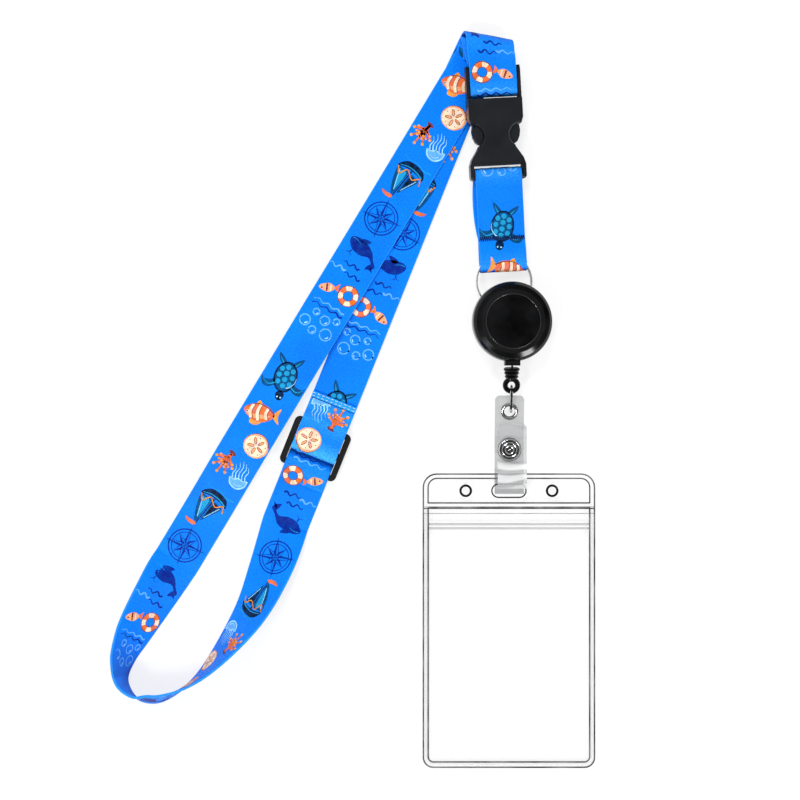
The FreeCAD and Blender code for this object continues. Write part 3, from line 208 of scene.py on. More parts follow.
def new_group(name, inputs, outputs):
    """A shader group. An input's default also says its type: none is a vector, four numbers a colour."""
    tree = bpy.data.node_groups.new(name, "ShaderNodeTree")
    for socket_name, value in inputs.items():
        kind = "Vector" if value is None else "Color" if isinstance(value, tuple) else "Float"
        socket = tree.interface.new_socket(socket_name, in_out="INPUT", socket_type="NodeSocket" + kind)
        if value is not None:
            socket.default_value = value
    for socket_name, kind in outputs.items():
        tree.interface.new_socket(socket_name, in_out="OUTPUT", socket_type="NodeSocket" + kind)
    return Graph(tree), tree.nodes.new("NodeGroupInput").outputs, tree.nodes.new("NodeGroupOutput")


# %% [markdown]
# ## Light and floor
# A bright, even surround lights cloth and plastic at a plain level. In reflections it has a dark
# belt half-way up, so flat metal is bright and its rounded edges get dark bands. Two small soft
# boxes in front draw the highlights on the reel's rim, and a wide one that isn't mirrored lights
# the webbing. The floor glows faintly to the camera, which keeps it white under soft shadows.

# %% Surround
LIGHT, WALL, BELT, ZENITH = grey(0.56), grey(0.42), grey(0.01), grey(0.36)
WALL_HIGH, BELT_FOOT, BELT_HEAD, ZENITH_LOW = 0.30, 0.40, 0.78, 0.93

world = bpy.data.worlds.new("Surround")
scene.world = world
world.use_nodes = True
world.node_tree.nodes.clear()
sky = Graph(world.node_tree)
high = sky.math("ABSOLUTE", sky.split(sky.node("TexCoord").outputs["Generated"])["Z"])
ramp = sky.node("ValToRGB", high)
stops = ramp.color_ramp.elements
stops[0].position, stops[0].color = WALL_HIGH, WALL
stops[1].position, stops[1].color = ZENITH_LOW, ZENITH
for place in (BELT_FOOT, BELT_HEAD):
    stops.new(place).color = BELT
mirrored = sky.mix(sky.node("LightPath").outputs["Is Glossy Ray"], LIGHT, ramp.outputs[0])
light = sky.node("Background", sky.mix(sky.straight_rays(), mirrored, grey(1)))
sky.node("OutputWorld", light.outputs[0])


# %% Soft boxes
def soft_box(name, place, target, wide, high, power, mirrored=True):
    data = bpy.data.lights.new(name, "AREA")
    data.shape, data.size, data.size_y, data.energy = "RECTANGLE", wide, high, power
    lamp = linked(name, data)
    lamp.location = place
    lamp.rotation_euler = (Vector(target) - Vector(place)).to_track_quat("-Z", "Y").to_euler()
    lamp.visible_glossy = mirrored


reel_middle = middle_of("reel_front_cover")
soft_box("FrontLeft", (-0.30, -0.34, 0.62), reel_middle, 0.18, 0.11, 2.3)
soft_box("FrontRight", (0.42, -0.44, 0.60), reel_middle, 0.18, 0.11, 2.1)
soft_box("Top", (-0.10, 0.62, 0.80), (0, 0, 0), 0.36, 0.26, 4.6, mirrored=False)

# %% Floor
FLOOR_SIZE, FLOOR_LEVEL, FLOOR_GLOW = 4.0, -0.05 * MM, 0.72

floor_paint = bpy.data.materials.new("FloorPaint")
floor_paint.use_nodes = True
floor_paint.node_tree.nodes.clear()
ground = Graph(floor_paint.node_tree)
matt = ground.node("BsdfDiffuse", Color=grey(0.86))
glow = ground.node("Emission", Color=grey(1), Strength=1.03)
share = ground.mul(ground.straight_rays(), FLOOR_GLOW)
both = ground.node("MixShader", share, matt.outputs[0], glow.outputs[0])
ground.node("OutputMaterial", both.outputs[0])

floor_mesh = bmesh.new()
bmesh.ops.create_grid(floor_mesh, x_segments=1, y_segments=1, size=FLOOR_SIZE / 2,
                      matrix=Matrix.Translation((0, 0, FLOOR_LEVEL)))
floor = new_piece("Floor", floor_mesh, floor_paint)

# %% [markdown]
# ## Finishes
# Cloth and moulded plastic each get a small node group that works out what changes over the
# surface: thread or grain. The groups only hand values to a Principled shader in the material, so
# one group serves several finishes with values of their own.
#
# ### Woven satin
# The webbing is a fine satin of polyester yarn: the threads are about a third of a millimetre
# apart, so they read as a soft grain. UV coordinates are in metres along and across the strap,
# so the weave keeps its size round every bend. An attribute says where a fold turns up into the
# light, above 0, which gets a painted sheen, and where it turns away, below 0, which gets a painted
# shade. The outer edges get a little of the same painted sheen.

# %% Weave group
BLUE, SHEEN, SHADE = (0.0, 0.186, 0.86, 1), (0.05, 0.42, 1.0, 1), (0.0, 0.012, 0.11, 1)
THREAD_PITCH = 0.36 * MM


def weave_group():
    g, given, result = new_group(
        "SatinWeave",
        {"Vector": None, "Colour": BLUE, "Pitch": THREAD_PITCH, "Contrast": 0.1, "Half width": 9.5 * MM,
         "Fold": 0.0},
        {"Colour": "Color", "Height": "Float", "Roughness": "Float"})
    across, along, _ = g.split(given["Vector"])
    turns = g.math("DIVIDE", 2 * math.pi, given["Pitch"])
    slant = g.add(g.mul(across, 0.5), along)
    thread = g.mul(g.wave(across, turns), g.wave(slant, turns))
    fine, broad = g.noise(given["Vector"], 1500.0), g.noise(given["Vector"], 55.0)
    height = g.add(g.mul(thread, 0.4), g.mul(g.spread(fine, 0.32, 0.68, -1.0, 1.0), 0.6))
    shade = g.add(g.mul(height, given["Contrast"]), g.spread(broad, 0.3, 0.7, 0.88, 1.08))
    shades = g.node("CombineColor", shade, shade, shade).outputs[0]
    tinted = g.mix(1.0, given["Colour"], shades, "MULTIPLY")
    edge = g.math("DIVIDE", g.math("ABSOLUTE", across), given["Half width"])
    # Painted sheen: folds turned up into the light, and the outer edges a little, are mixed towards SHEEN;
    # painted shade: folds turned away are mixed towards SHADE.
    lit = g.mul(given["Fold"], g.spread(fine, 0.35, 0.65, 0.28, 0.85))
    lit = g.math("MAXIMUM", g.spread(edge, 0.955, 0.985, 0.0, 0.30), lit)
    tinted = g.mix(lit, tinted, SHEEN)
    tinted = g.mix(g.spread(given["Fold"], -0.9, 0.0, 0.92, 0.0), tinted, SHADE)
    g.set(result, Colour=tinted, Height=height, Roughness=g.spread(fine, 0.2, 0.8, 0.46, 0.60))
    return g.tree


SATIN = weave_group()


def webbing_paint(name, colour=BLUE, printed=False):
    """Satin webbing, in one colour or in the colours of its print."""
    g = Finish(name)
    place = g.node("UVMap", uv_map="Strap").outputs[0]
    # Fold carries the painted sheen and the painted shade into the weave group.
    fold = g.node("Attribute", attribute_name="Fold").outputs["Fac"]
    if printed:
        ink = g.node("Attribute", attribute_name="Ink").outputs
        cover = g.mul(ink["Alpha"], g.spread(g.noise(place, 420.0, 3.0), 0.4, 0.7, 1.0, 0.86))
        colour = g.mix(cover, colour, ink["Color"])
    cloth = g.node("Group", node_tree=SATIN, Vector=place, Colour=colour, Pitch=THREAD_PITCH,
                   Contrast=0.26, Fold=fold).outputs
    g.bump(cloth["Height"], 0.35, 0.06 * MM)
    return g.done(Base_Color=cloth["Colour"], Roughness=cloth["Roughness"], Specular_IOR_Level=0.12)


webbing_blue = webbing_paint("WebbingBlue")
webbing_ink = webbing_paint("WebbingInk", printed=True)
# The hem is the same webbing in a paler blue: painted light on its raised fold.
lit_hem_blue = webbing_paint("HemLitBlue", (0.01, 0.30, 0.95, 1))

# %% [markdown]
# ### Moulded plastic
# The buckle and slider come out of spark-eroded moulds, which leave a fine matt grain. The reel is
# polished.

# %% Grain group
DUST = (0.035, 0.036, 0.04, 1)


def grain_group():
    g, given, result = new_group(
        "MouldGrain",
        {"Vector": None, "Colour": grey(0.02), "Scale": 1500.0, "Low roughness": 0.4,
         "High roughness": 0.55},
        {"Colour": "Color", "Height": "Float", "Roughness": "Float"})
    broad = g.noise(given["Vector"], 90.0, 3.0)
    g.set(result, Height=g.noise(given["Vector"], given["Scale"]),
          Colour=g.mix(g.spread(broad, 0.3, 0.7, 0.0, 0.2), given["Colour"], DUST),
          Roughness=g.spread(broad, 0.0, 1.0, given["Low roughness"], given["High roughness"]))
    return g.tree


GRAIN = grain_group()


def plastic(name, colour, grain, low, high, strength, specular=0.5):
    """Moulded plastic: its grain's scale, its roughness from and to, how deep the grain is."""
    g = Finish(name)
    mould = g.node("Group", node_tree=GRAIN, Vector=g.place(), Colour=colour, Scale=grain,
                   Low_roughness=low, High_roughness=high).outputs
    g.bump(mould["Height"], strength, 0.03 * MM)
    return g.done(Base_Color=mould["Colour"], Roughness=mould["Roughness"], Specular_IOR_Level=specular)


buckle_black = plastic("BuckleBlack", (0.0045, 0.006, 0.009, 1), 2600.0, 0.25, 0.36, 0.5, 0.32)
slider_black = plastic("SliderBlack", (0.006, 0.0065, 0.007, 1), 2200.0, 0.42, 0.55, 0.6, 0.18)
reel_black = plastic("ReelBlack", grey(0.001), 900.0, 0.11, 0.17, 0.05, 0.22)
lip_black = plastic("LipBlack", grey(0.010), 900.0, 0.16, 0.24, 0.05, 1.0)
disc_black = plastic("DiscBlack", grey(0.0008), 500.0, 0.05, 0.09, 0.02, 0.03)
spool_white = plastic("SpoolWhite", (0.62, 0.61, 0.58, 1), 900.0, 0.35, 0.45, 0.2)
cord_black = plastic("CordBlack", grey(0.01), 3000.0, 0.6, 0.8, 0.8, 0.3)

# %% [markdown]
# ### Plated metal
# Metal parts are plated, with faint polishing lines, and are a little rougher where fingers have
# dulled them. The snap's cap and the eyelet are turned, so they have fine rings, with painted shade
# making the groove between each two much darker.

# %% Metal
TURNED_PITCH = 1.25 * MM


def metal(name, colour, low, high, brush=(1, 1, 1), dark=0.42, rings=None):
    """Plated metal with fine lines along one axis, or with turned rings round a place, with painted
    shade in their grooves.
    """
    g = Finish(name)
    place = g.place()
    lines = g.noise(g.node("Mapping", Vector=place, Scale=brush).outputs[0], 900.0, 3.0)
    rough = g.spread(g.noise(place, 160.0), 0.35, 0.7, low, high)
    tone = g.mix(g.spread(lines, 0.45, 0.75, 0.0, 0.4), colour, (dark, dark, dark * 1.02, 1))
    if rings:
        centred = g.node("Mapping", Vector=place, Location=(-rings.x, -rings.y, 0)).outputs[0]
        flat = g.node("VectorMath", centred, (1, 1, 0), operation="MULTIPLY").outputs[0]
        distance = g.node("VectorMath", flat, operation="LENGTH").outputs["Value"]
        wave = g.wave(distance, 2 * math.pi / TURNED_PITCH)
        # Painted shade: each ring's groove is mixed towards a much darker tone.
        tone = g.mix(g.spread(wave, -0.75, -0.1), grey(dark * 0.18), tone)
        g.bump(g.add(wave, g.mul(lines, 0.2)), 1.0, 0.10 * MM)
    else:
        g.bump(lines, 0.12, 0.02 * MM)
    return g.done(Base_Color=tone, Roughness=rough, Metallic=1.0)


ring_steel = metal("RingSteel", (0.88, 0.88, 0.87, 1), 0.08, 0.16, (1, 1, 0.15), 0.22)
spring_steel = metal("SpringSteel", (0.35, 0.37, 0.42, 1), 0.25, 0.35, (1, 1, 0.1))
snap_chrome = metal("SnapChrome", grey(0.82), 0.06, 0.16)
cap_chrome = metal("CapChrome", grey(0.80), 0.08, 0.18, rings=middle_of("snap_cap"))
eyelet_chrome = metal("EyeletChrome", grey(0.80), 0.08, 0.18, rings=middle_of("clip_eyelet"))

# %% [markdown]
# ### Clear vinyl
# Soft vinyl sheet is almost invisible on white, and shows by its edges, welds and folds. The flat
# sheets are mostly see-through, the strap of the clip is frosted, and the welded lines are denser.
# Across the clip's flap, pale streaks are painted in as a painted reflection of light in its wavy vinyl.

# %% Vinyl
PAINTED_GLOSS = (0.93, 0.935, 0.94, 1)
# How the painted reflection's streaks sway, how soft their ends are and how far apart they lie.
GLOSS_SWAY, GLOSS_SOFT, GLOSS_PITCH = 5.0 * MM, 0.6 * MM, 4.6 * MM


def vinyl(name, colour, alpha, edge_alpha, roughness, ripple=0.0, painted_gloss_band=None):
    """See-through sheet that is denser edge on and lets light through to the floor. It may be
    rippled, and may carry pale streaks between two places along Y, which are a painted reflection."""
    g = Finish(name)
    place = g.place()
    cloud = g.noise(place, 60.0)
    facing = g.node("LayerWeight", Blend=0.35).outputs["Facing"]
    blocks = g.spread(g.node("LightPath").outputs["Is Shadow Ray"], 0.0, 1.0, 1.0, 0.25)
    dense = g.mul(g.spread(facing, 0.2, 0.95, alpha, edge_alpha), blocks)
    tone = g.mix(g.spread(cloud, 0.4, 0.7, 0.0, 0.5), colour, tuple(c * 0.8 for c in colour[:3]) + (1,))
    # Painted reflection: pale streaks between two heights stand in for light mirrored by the wavy vinyl.
    if painted_gloss_band:
        sway = g.mul(g.noise(place, 70.0, 0.0), GLOSS_SWAY)
        along = g.add(g.math("SUBTRACT", g.split(place)["Y"], sway), GLOSS_SWAY / 2)
        foot, head = (g.spread(along, edge - GLOSS_SOFT, edge + GLOSS_SOFT, below, above)
                      for edge, below, above in zip(painted_gloss_band, (0.5, 1.0), (1.0, 0.0)))
        streak = g.spread(g.wave(along, 2 * math.pi / GLOSS_PITCH), -0.55, 0.25, 0.12, 1.0)
        tone = g.mix(g.mul(g.math("MINIMUM", foot, head), streak), tone, PAINTED_GLOSS)
    if ripple:
        stretch = g.node("Mapping", Vector=place, Scale=(0.35, 1.0, 0.35), Rotation=(0, 0, 0.3))
        g.bump(g.noise(stretch.outputs[0], 190.0, 1.0), 1.0, ripple)
        g.set(g.shader, Specular_IOR_Level=1.0)
    rough = g.spread(cloud, 0.3, 0.7, roughness, roughness + 0.08)
    return g.done(Alpha=dense, Base_Color=tone, Roughness=rough)


flap_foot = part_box("clip_strap_flap")[0].y
vinyl_sheet = vinyl("VinylSheet", (0.94, 0.945, 0.95, 1), 0.008, 0.30, 0.08)
vinyl_strap = vinyl("VinylStrap", (0.37, 0.375, 0.38, 1), 0.46, 0.85, 0.08, 2.6 * MM)
# The flap's painted reflection lies between these two heights above its foot.
vinyl_flap = vinyl("VinylFlap", (0.45, 0.455, 0.46, 1), 0.42, 0.85, 0.06, 3.4 * MM,
                   (flap_foot + 3.0 * MM, flap_foot + 10.6 * MM))
vinyl_weld = vinyl("VinylWeld", (0.86, 0.865, 0.87, 1), 0.10, 0.35, 0.2)
vinyl_zip = vinyl("VinylZip", (0.42, 0.425, 0.43, 1), 0.55, 0.8, 0.25)

# %% [markdown]
# ### Thread and weld
# Stitches get painted shade in the furrows between bright fibres, and a welded line is painted
# lighter and darker along its length as painted light.

# %% Thread and weld
def speckled(name, dark, light, noise, low, high, relief, roughness, specular):
    """A small piece whose tone wanders between two, the darker one in the bump's hollows as painted
    shade; noise is a scale and a detail, relief is a bump's strength and distance."""
    g = Finish(name)
    wander = g.noise(g.place(), *noise)
    g.bump(wander, *relief)
    return g.done(Base_Color=g.mix(g.spread(wander, low, high), dark, light), Roughness=roughness,
                  Specular_IOR_Level=specular)


def thread_paint(name, colour):
    dark = tuple(c * 0.55 for c in colour[:3]) + (1,)
    return speckled(name, dark, colour, (4000.0, 2.0), 0.35, 0.6, (0.4, 0.03 * MM), 0.6, 0.2)


def shaded_line_paint(name, dark, light):
    return speckled(name, grey(dark), grey(light), (140.0, 3.0), 0.35, 0.68, (0.2, 0.1 * MM), 0.25, 0.3)


thread_white = thread_paint("ThreadWhite", (0.80, 0.86, 0.95, 1))
thread_navy = thread_paint("ThreadNavy", (0.003, 0.016, 0.10, 1))
# The holder's lines get greys and black as painted shade, where clear vinyl bends light at its ridges.
weld_shade_grey = shaded_line_paint("WeldShadeGrey", 0.025, 0.17)
weld_shade_dark = shaded_line_paint("WeldShadeDark", 0.012, 0.12)
weld_shade_pale = shaded_line_paint("WeldShadePale", 0.22, 0.50)
punch_shade_black = shaded_line_paint("PunchShadeBlack", 0.002, 0.012)

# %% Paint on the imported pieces
NODE_PAINTS = {
    buckle_black: ["buckle_male_frame", "release_prong_left", "release_prong_right", "buckle_female_shell"],
    slider_black: ["adjuster_slider"],
    ring_steel: ["split_ring", "belt_clip", "clip_rivet"],
    snap_chrome: ["wire_link", "snap_stud", "snap_socket"],
    cap_chrome: ["snap_cap"],
    eyelet_chrome: ["clip_eyelet"],
    reel_black: ["reel_front_cover", "cord_nozzle", "cord_stop", "reel_back_shell", "reel_axle"],
    disc_black: ["reel_cap_disc"],
    spool_white: ["cord_spool"],
    cord_black: ["cord_winding", "cord_tail"],
    spring_steel: ["spiral_spring"],
    vinyl_strap: ["clip_strap_back"],
    vinyl_flap: ["clip_strap_flap"],
    vinyl_sheet: ["holder_back_sheet", "holder_header", "holder_front_sheet"],
    vinyl_weld: ["holder_edge_weld"],
    vinyl_zip: ["zip_groove", "zip_rib"],
}
for paint, names in NODE_PAINTS.items():
    for name in names:
        piece = nodes[name]
        if not piece.data.materials:
            piece.data.materials.append(paint)
        for place in piece.material_slots:
            place.material = paint
print(f"{len(NODE_PAINTS)} finishes on {sum(map(len, NODE_PAINTS.values()))} packed pieces")

# %% [markdown]
# ## The path of the webbing
# One long strap makes the whole loop. Its path is a row of stations: a middle, the way across, the
# way out of the printed face and half the width. Travelling along the strap, across x travel is
# always the printed face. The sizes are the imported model's own.

# %% Sizes of the strap
WIDTH = 19.0 * MM
GAUGE = 0.9 * MM
LAYER = 1.05 * MM
LEVELS = [GAUGE / 2, GAUGE / 2 + LAYER, GAUGE / 2 + 2 * LAYER]
LEFT_ANGLE, LEFT_LENGTH, LEFT_TOP, LEFT_ARCH = 58.96, 241.8 * MM, (51.9 * MM, 141.5 * MM), 4.4 * MM
RIGHT_ANGLE, RIGHT_BEND, RIGHT_TOP_RUN = 68.1, (37.4 * MM, 113.7 * MM), 31.5 * MM
FOLD_ANGLE, LEFT_FOLD_ANGLE = -10.7, -13.8
TAIL, TAIL_DROP, TAIL_SLOPE = 6.0 * MM, 0.8 * MM, 0.2
SLIDER_DISTANCE, SLIDER_LENGTH, RAIL_FLOOR, RAIL_HEIGHT = 143.9 * MM, 20.3 * MM, 0.4 * MM, 3.4 * MM
END_BAR_WIDTH, END_BAR_HEIGHT = 2.4 * MM, 1.6 * MM
CENTRE_BAR_WIDTH, CENTRE_BAR_HEIGHT = 3.0 * MM, 1.7 * MM
BAR_GAP, WAVE_RUN, FLAP_LENGTH, LOWER_RUN = 0.15 * MM, 5.9 * MM, 21.5 * MM, 33.0 * MM
BAR_Y, BAR_RADIUS, WRAP_GAP, FRAME_TOP = 76.4 * MM, 1.25 * MM, 0.05 * MM, 86.7 * MM
PAST_FRAME = 1.0 * MM
ROLL_STEPS = 20
TRAIN_MIDDLE = Vector((60.1, 47.8, 3.3)) * MM
TRAIN_TURNS = (3.4, 3.0, 5.5)

Station = namedtuple("Station", "middle across out half")


def turned(axis, angle):
    return Matrix.Rotation(math.radians(angle), 4, axis)


def heading(angle):
    return Vector((math.cos(math.radians(angle)), math.sin(math.radians(angle)), 0))


def station(middle, across, out, half=WIDTH / 2):
    return Station(Vector(middle), Vector(across).normalized(), Vector(out).normalized(), half)


def crosswise(where, y, z, out):
    """A station in a part's own frame, with the webbing lying across its X axis."""
    turn = where.to_3x3()
    return station(where @ Vector((0, y, z)), turn @ Vector((1, 0, 0)), turn @ Vector(out))


def between(first, last, count):
    """Stations that change evenly from one to another, both included."""
    made = []
    for i in range(count + 1):
        share = i / count
        middle, across, out = (a.lerp(b, share) for a, b in zip(first[:3], last[:3]))
        made.append(station(middle, across, out, first.half * (1 - share) + last.half * share))
    return made


def spaced(first, last, count):
    return [first + (last - first) * i / count for i in range(count + 1)]


def ease(share):
    share = min(max(share, 0.0), 1.0)
    return share * share * (3 - 2 * share)


train = (Matrix.Translation(TRAIN_MIDDLE) @ turned("Z", TRAIN_TURNS[0]) @ turned("X", TRAIN_TURNS[1])
         @ turned("Y", TRAIN_TURNS[2]))
left_way, right_way = heading(LEFT_ANGLE), heading(RIGHT_ANGLE)
right_bend = Vector((*RIGHT_BEND, 0))
left_top = Vector((*LEFT_TOP, 0))
slider_middle = right_bend - right_way * SLIDER_DISTANCE
slider = Matrix.Translation(slider_middle) @ turned("Z", RIGHT_ANGLE - 90)


def right_hand(way):
    return Vector((way.y, -way.x, 0))


def folded(way, angle):
    """The way that flat webbing runs on after it rolls over an axis at an angle."""
    along = heading(angle)
    onward = -right_hand(along)
    return along * way.dot(along) - onward * way.dot(onward)


def skewed_half(way, angle):
    return WIDTH / 2 / abs(way.dot(right_hand(heading(angle))))


def rolled_over(start, way, angle, radius):
    """Webbing that rolls over a level cylinder, from below to above."""
    along = heading(angle)
    onward = -right_hand(along)
    drift = way.dot(along) / way.dot(onward)
    made = []
    for turn in spaced(0, math.pi, ROLL_STEPS):
        middle = start + along * (radius * turn * drift) + onward * (radius * math.sin(turn))
        middle += UP * (radius * (1 - math.cos(turn)))
        made.append(station(middle, along, UP * math.cos(turn) - onward * math.sin(turn),
                            skewed_half(way, angle)))
    return made


def round_bar(bar_y, radius, start, end, steps, y_sign=-1):
    """Stations round a bar across the buckle, by the angle from its top."""
    made = []
    for turn in spaced(math.radians(start), math.radians(end), steps):
        out = Vector((0, y_sign * math.sin(turn), math.cos(turn)))
        made.append(crosswise(train, bar_y + out.y * radius, out.z * radius, out))
    return made


def flipped(place):
    return Station(place.middle, place.across, -place.out, place.half)


def turned_round(places):
    """The same webbing for a traveller who goes the other way."""
    return [Station(p.middle, -p.across, p.out, p.half) for p in reversed(places)]


# %% Top of the loop, and the heights there
train_way = train.to_3x3() @ Vector((0, -1, 0))
drop_way = Vector((train_way.x, train_way.y, 0)).normalized()
right_top_way = folded(drop_way, FOLD_ANGLE)
right_fold = right_bend + right_top_way * RIGHT_TOP_RUN
TOP_Y = (right_fold.y - TRAIN_MIDDLE.y) / math.cos(math.radians(TRAIN_TURNS[0])) + PAST_FRAME
WRAP = BAR_RADIUS + WRAP_GAP + GAUGE / 2
outer_top = (train @ Vector((0, TOP_Y, WRAP))).z
inner_top = (train @ Vector((0, TOP_Y, -WRAP))).z
outer_radius = (outer_top - LEVELS[0]) / 2
inner_radius = (inner_top - LEVELS[1]) / 2
left_radius = (inner_top - LAYER - TAIL_DROP - LEVELS[2]) / 2
print(f"rolls at the top: {outer_radius / MM:.2f}, {inner_radius / MM:.2f} and {left_radius / MM:.2f} mm")


# %% [markdown]
# ### Left run and bottom bend
# The left run starts at a sewn end inside the top fold, arches over the slider's path and comes
# down to the floor. At the bottom the loop turns back: the webbing stands on its inner edge there
# and leans inwards, because flat webbing can't turn in its own plane.

# %% Left run
# Where along the run each slope of the arch starts, and its length.
ARCH_UP, ARCH_DOWN = (88 * MM, 45 * MM), (188 * MM, 34 * MM)
LEFT_STEPS = 120


def left_height(distance):
    up = ease((distance - ARCH_UP[0]) / ARCH_UP[1])
    down = ease((distance - ARCH_DOWN[0]) / ARCH_DOWN[1])
    height = LEVELS[2] + (LEFT_ARCH - LEVELS[2]) * up
    return height + (LEVELS[0] - height) * down


def left_stations():
    run = []
    for distance in spaced(0, LEFT_LENGTH, LEFT_STEPS):
        slope = (left_height(distance + 0.5 * MM) - left_height(distance - 0.5 * MM)) / MM
        place = left_top - left_way * distance + UP * left_height(distance)
        run.append(station(place, -right_hand(left_way), left_way * slope + UP))
    run[0] = station(run[0].middle, -heading(LEFT_FOLD_ANGLE), UP,
                     skewed_half(left_way, LEFT_FOLD_ANGLE))
    run[-1] = station(run[-1].middle, -right_hand(left_way), UP)
    rolled = rolled_over(left_top + UP * LEVELS[2], left_way, LEFT_FOLD_ANGLE, left_radius)
    last = rolled[-1]
    way = folded(left_way, LEFT_FOLD_ANGLE)
    end = last.middle + way * TAIL - UP * (TAIL_SLOPE * TAIL)
    tail = station(end, last.across, last.out + way * TAIL_SLOPE, last.half)
    return turned_round(rolled + [tail])[:-1] + run


# %% Bottom bend
# Places of the standing edge in millimetres, with the webbing's lean from flat (0) past upright.
BEND = [
    (-72.2, -81.3, 24), (-84.1, -97.9, 47), (-90.1, -106.3, 66), (-92.8, -113.9, 86),
    (-89.3, -121.0, 101), (-82.8, -123.2, 107), (-75.8, -121.3, 103), (-66.9, -114.4, 90),
    (-59.0, -103.5, 73), (-48.6, -83.7, 47), (-42.6, -65.2, 22),
]
BEND_STEPS = 9
RUN_UP = 6 * MM


def smooth_line(points, steps):
    """A smooth line through points; the first and last point only set its direction there."""
    line = []
    for a, b, c, d in zip(points, points[1:], points[2:], points[3:]):
        for i in range(steps):
            t = i / steps
            line.append((b * 2 + (c - a) * t + (a * 2 - b * 5 + c * 4 - d) * t**2
                         + (b * 3 - a - c * 3 + d) * t**3) * 0.5)
    return line + [points[-2]]


def bend_stations():
    inside = WIDTH / 2
    start = left_top - left_way * LEFT_LENGTH + right_hand(left_way) * inside
    end = slider_middle - right_way * LOWER_RUN - right_hand(right_way) * inside
    route = [start + left_way * RUN_UP, start]
    route += [Vector((x * MM, y * MM, math.radians(lean))) for x, y, lean in BEND]
    route += [end, end + right_way * RUN_UP]
    line = smooth_line(route, BEND_STEPS)
    made = []
    for i, point in enumerate(line):
        ahead, behind = line[min(i + 1, len(line) - 1)], line[max(i - 1, 0)]
        way = Vector((ahead.x - behind.x, ahead.y - behind.y, 0)).normalized()
        way = -left_way if i == 0 else right_way if i == len(line) - 1 else way
        outward, lean = right_hand(way), max(point.z, 0.0)
        side = outward * math.cos(lean) + UP * math.sin(lean)
        foot = Vector((point.x, point.y, GAUGE / 2 * abs(math.cos(lean))))
        made.append(station(foot + side * inside, side, UP * math.cos(lean) - outward * math.sin(lean)))
    return made


# %% [markdown]
# ### Through the slider
# The running strap climbs over the slider's lower bar, dips under the centre bar and climbs over the
# upper bar. The sewn end dips the same way on top of it, turns round the centre bar and comes back
# up in front as a flap, which is stitched down above the slider.

# %% Slider passage
REACH = SLIDER_LENGTH / 2 + WAVE_RUN
BAR_MARGIN, CENTRE_MARGIN = 0.25 * MM, 0.1 * MM
OVER_BAR = SLIDER_LENGTH / 2 - END_BAR_WIDTH - BAR_MARGIN
PAST_BAR = SLIDER_LENGTH / 2 + BAR_MARGIN
BAR_RISE = RAIL_FLOOR + END_BAR_HEIGHT + BAR_GAP


def run_height(along):
    inner = CENTRE_BAR_WIDTH / 2 + CENTRE_MARGIN
    distance = abs(along)
    if distance < OVER_BAR:
        return LEVELS[0] + BAR_RISE * ease((distance - inner) / (OVER_BAR - inner))
    return LEVELS[0] + BAR_RISE * (1 - ease((distance - PAST_BAR) / (WAVE_RUN - BAR_MARGIN)))


def slider_wave(places, height, sign=1):
    """Stations along the slider at given heights; sign -1 shows the other face."""
    made, step = [], 0.05 * MM
    for along in places:
        slope = (height(along + step) - height(along - step)) / (2 * step)
        made.append(crosswise(slider, along, height(along), (0, -slope * sign, sign)))
    return made


def flap_stations():
    under = CENTRE_BAR_WIDTH / 2
    bar_middle = RAIL_FLOOR + RAIL_HEIGHT - CENTRE_BAR_HEIGHT / 2
    turn = CENTRE_BAR_HEIGHT / 2 + BAR_GAP + GAUGE / 2
    down = slider_wave(spaced(REACH, -under, 40), lambda u: run_height(u) + LAYER)
    down.append(crosswise(slider, -under, bar_middle - turn, UP))
    wrap = []
    for angle in spaced(0, math.pi, 12)[1:-1]:
        away = Vector((0, math.sin(angle), math.cos(angle)))
        wrap.append(crosswise(slider, -under - away.y * turn, bar_middle - away.z * turn, away))
    low, high = bar_middle + turn, LEVELS[0] + BAR_RISE + 2 * LAYER

    def flap_height(along):
        if along < OVER_BAR:
            return low + (high - low) * ease((along + under) / (OVER_BAR + under))
        return high - BAR_RISE * ease((along - PAST_BAR) / (WAVE_RUN - BAR_MARGIN))

    return down + wrap + slider_wave(spaced(-under, FLAP_LENGTH, 40), flap_height, -1)


# %% [markdown]
# ### Up the right side and round the buckle's bar
# Two layers run side by side up to the top, roll over together, pass the male half's round bar and
# close on themselves.

# %% Right side
def flat_station(point, level, way):
    return station(point + UP * level, right_hand(way), UP)


def buckle_side_stations():
    """From the slider up the lower layer, over the top, round the bar and back down to the slider."""
    low = slider_middle + right_way * REACH
    skew = skewed_half(right_top_way, FOLD_ANGLE)
    runs = []
    for level in LEVELS[:2]:
        fold = station(right_fold + UP * level, heading(FOLD_ANGLE), UP, skew)
        bend = flat_station(right_bend, level, right_way)
        runs.append(between(flat_station(low, level, right_way), bend, 60) + between(bend, fold, 16)[1:])
    outer = rolled_over(right_fold + UP * LEVELS[0], right_top_way, FOLD_ANGLE, outer_radius)
    inner = rolled_over(right_fold + UP * LEVELS[1], right_top_way, FOLD_ANGLE, inner_radius)
    wrap = [flipped(p) for p in round_bar(BAR_Y, WRAP, 0, 180, 16)]
    over, under = (crosswise(train, FRAME_TOP + PAST_FRAME, side * WRAP, (0, 0, -side)) for side in (1, -1))
    out_way = runs[0][:-1] + outer + between(outer[-1], over, 8)[1:]
    out_way += between(over, wrap[0], 8)[1:] + wrap[1:]
    back = runs[1][:-1] + inner + between(inner[-1], flipped(under), 8)[1:]
    back += between(flipped(under), flipped(wrap[-1]), 8)[1:-1]
    return out_way + [flipped(p) for p in reversed(back)]


# %% The tab between buckle and ring
TAB_BAR_Y, TAB_BAR_RADIUS = 43.9 * MM, 1.25 * MM
RING_RADIUS, RING_WIRE, RING_CLEAR = 11.2 * MM, 0.83 * MM, 0.35 * MM
TAB_STITCH_Y, TAB_DRIFT = 17.5 * MM, 1.3 * MM
TAB_STEPS = 14


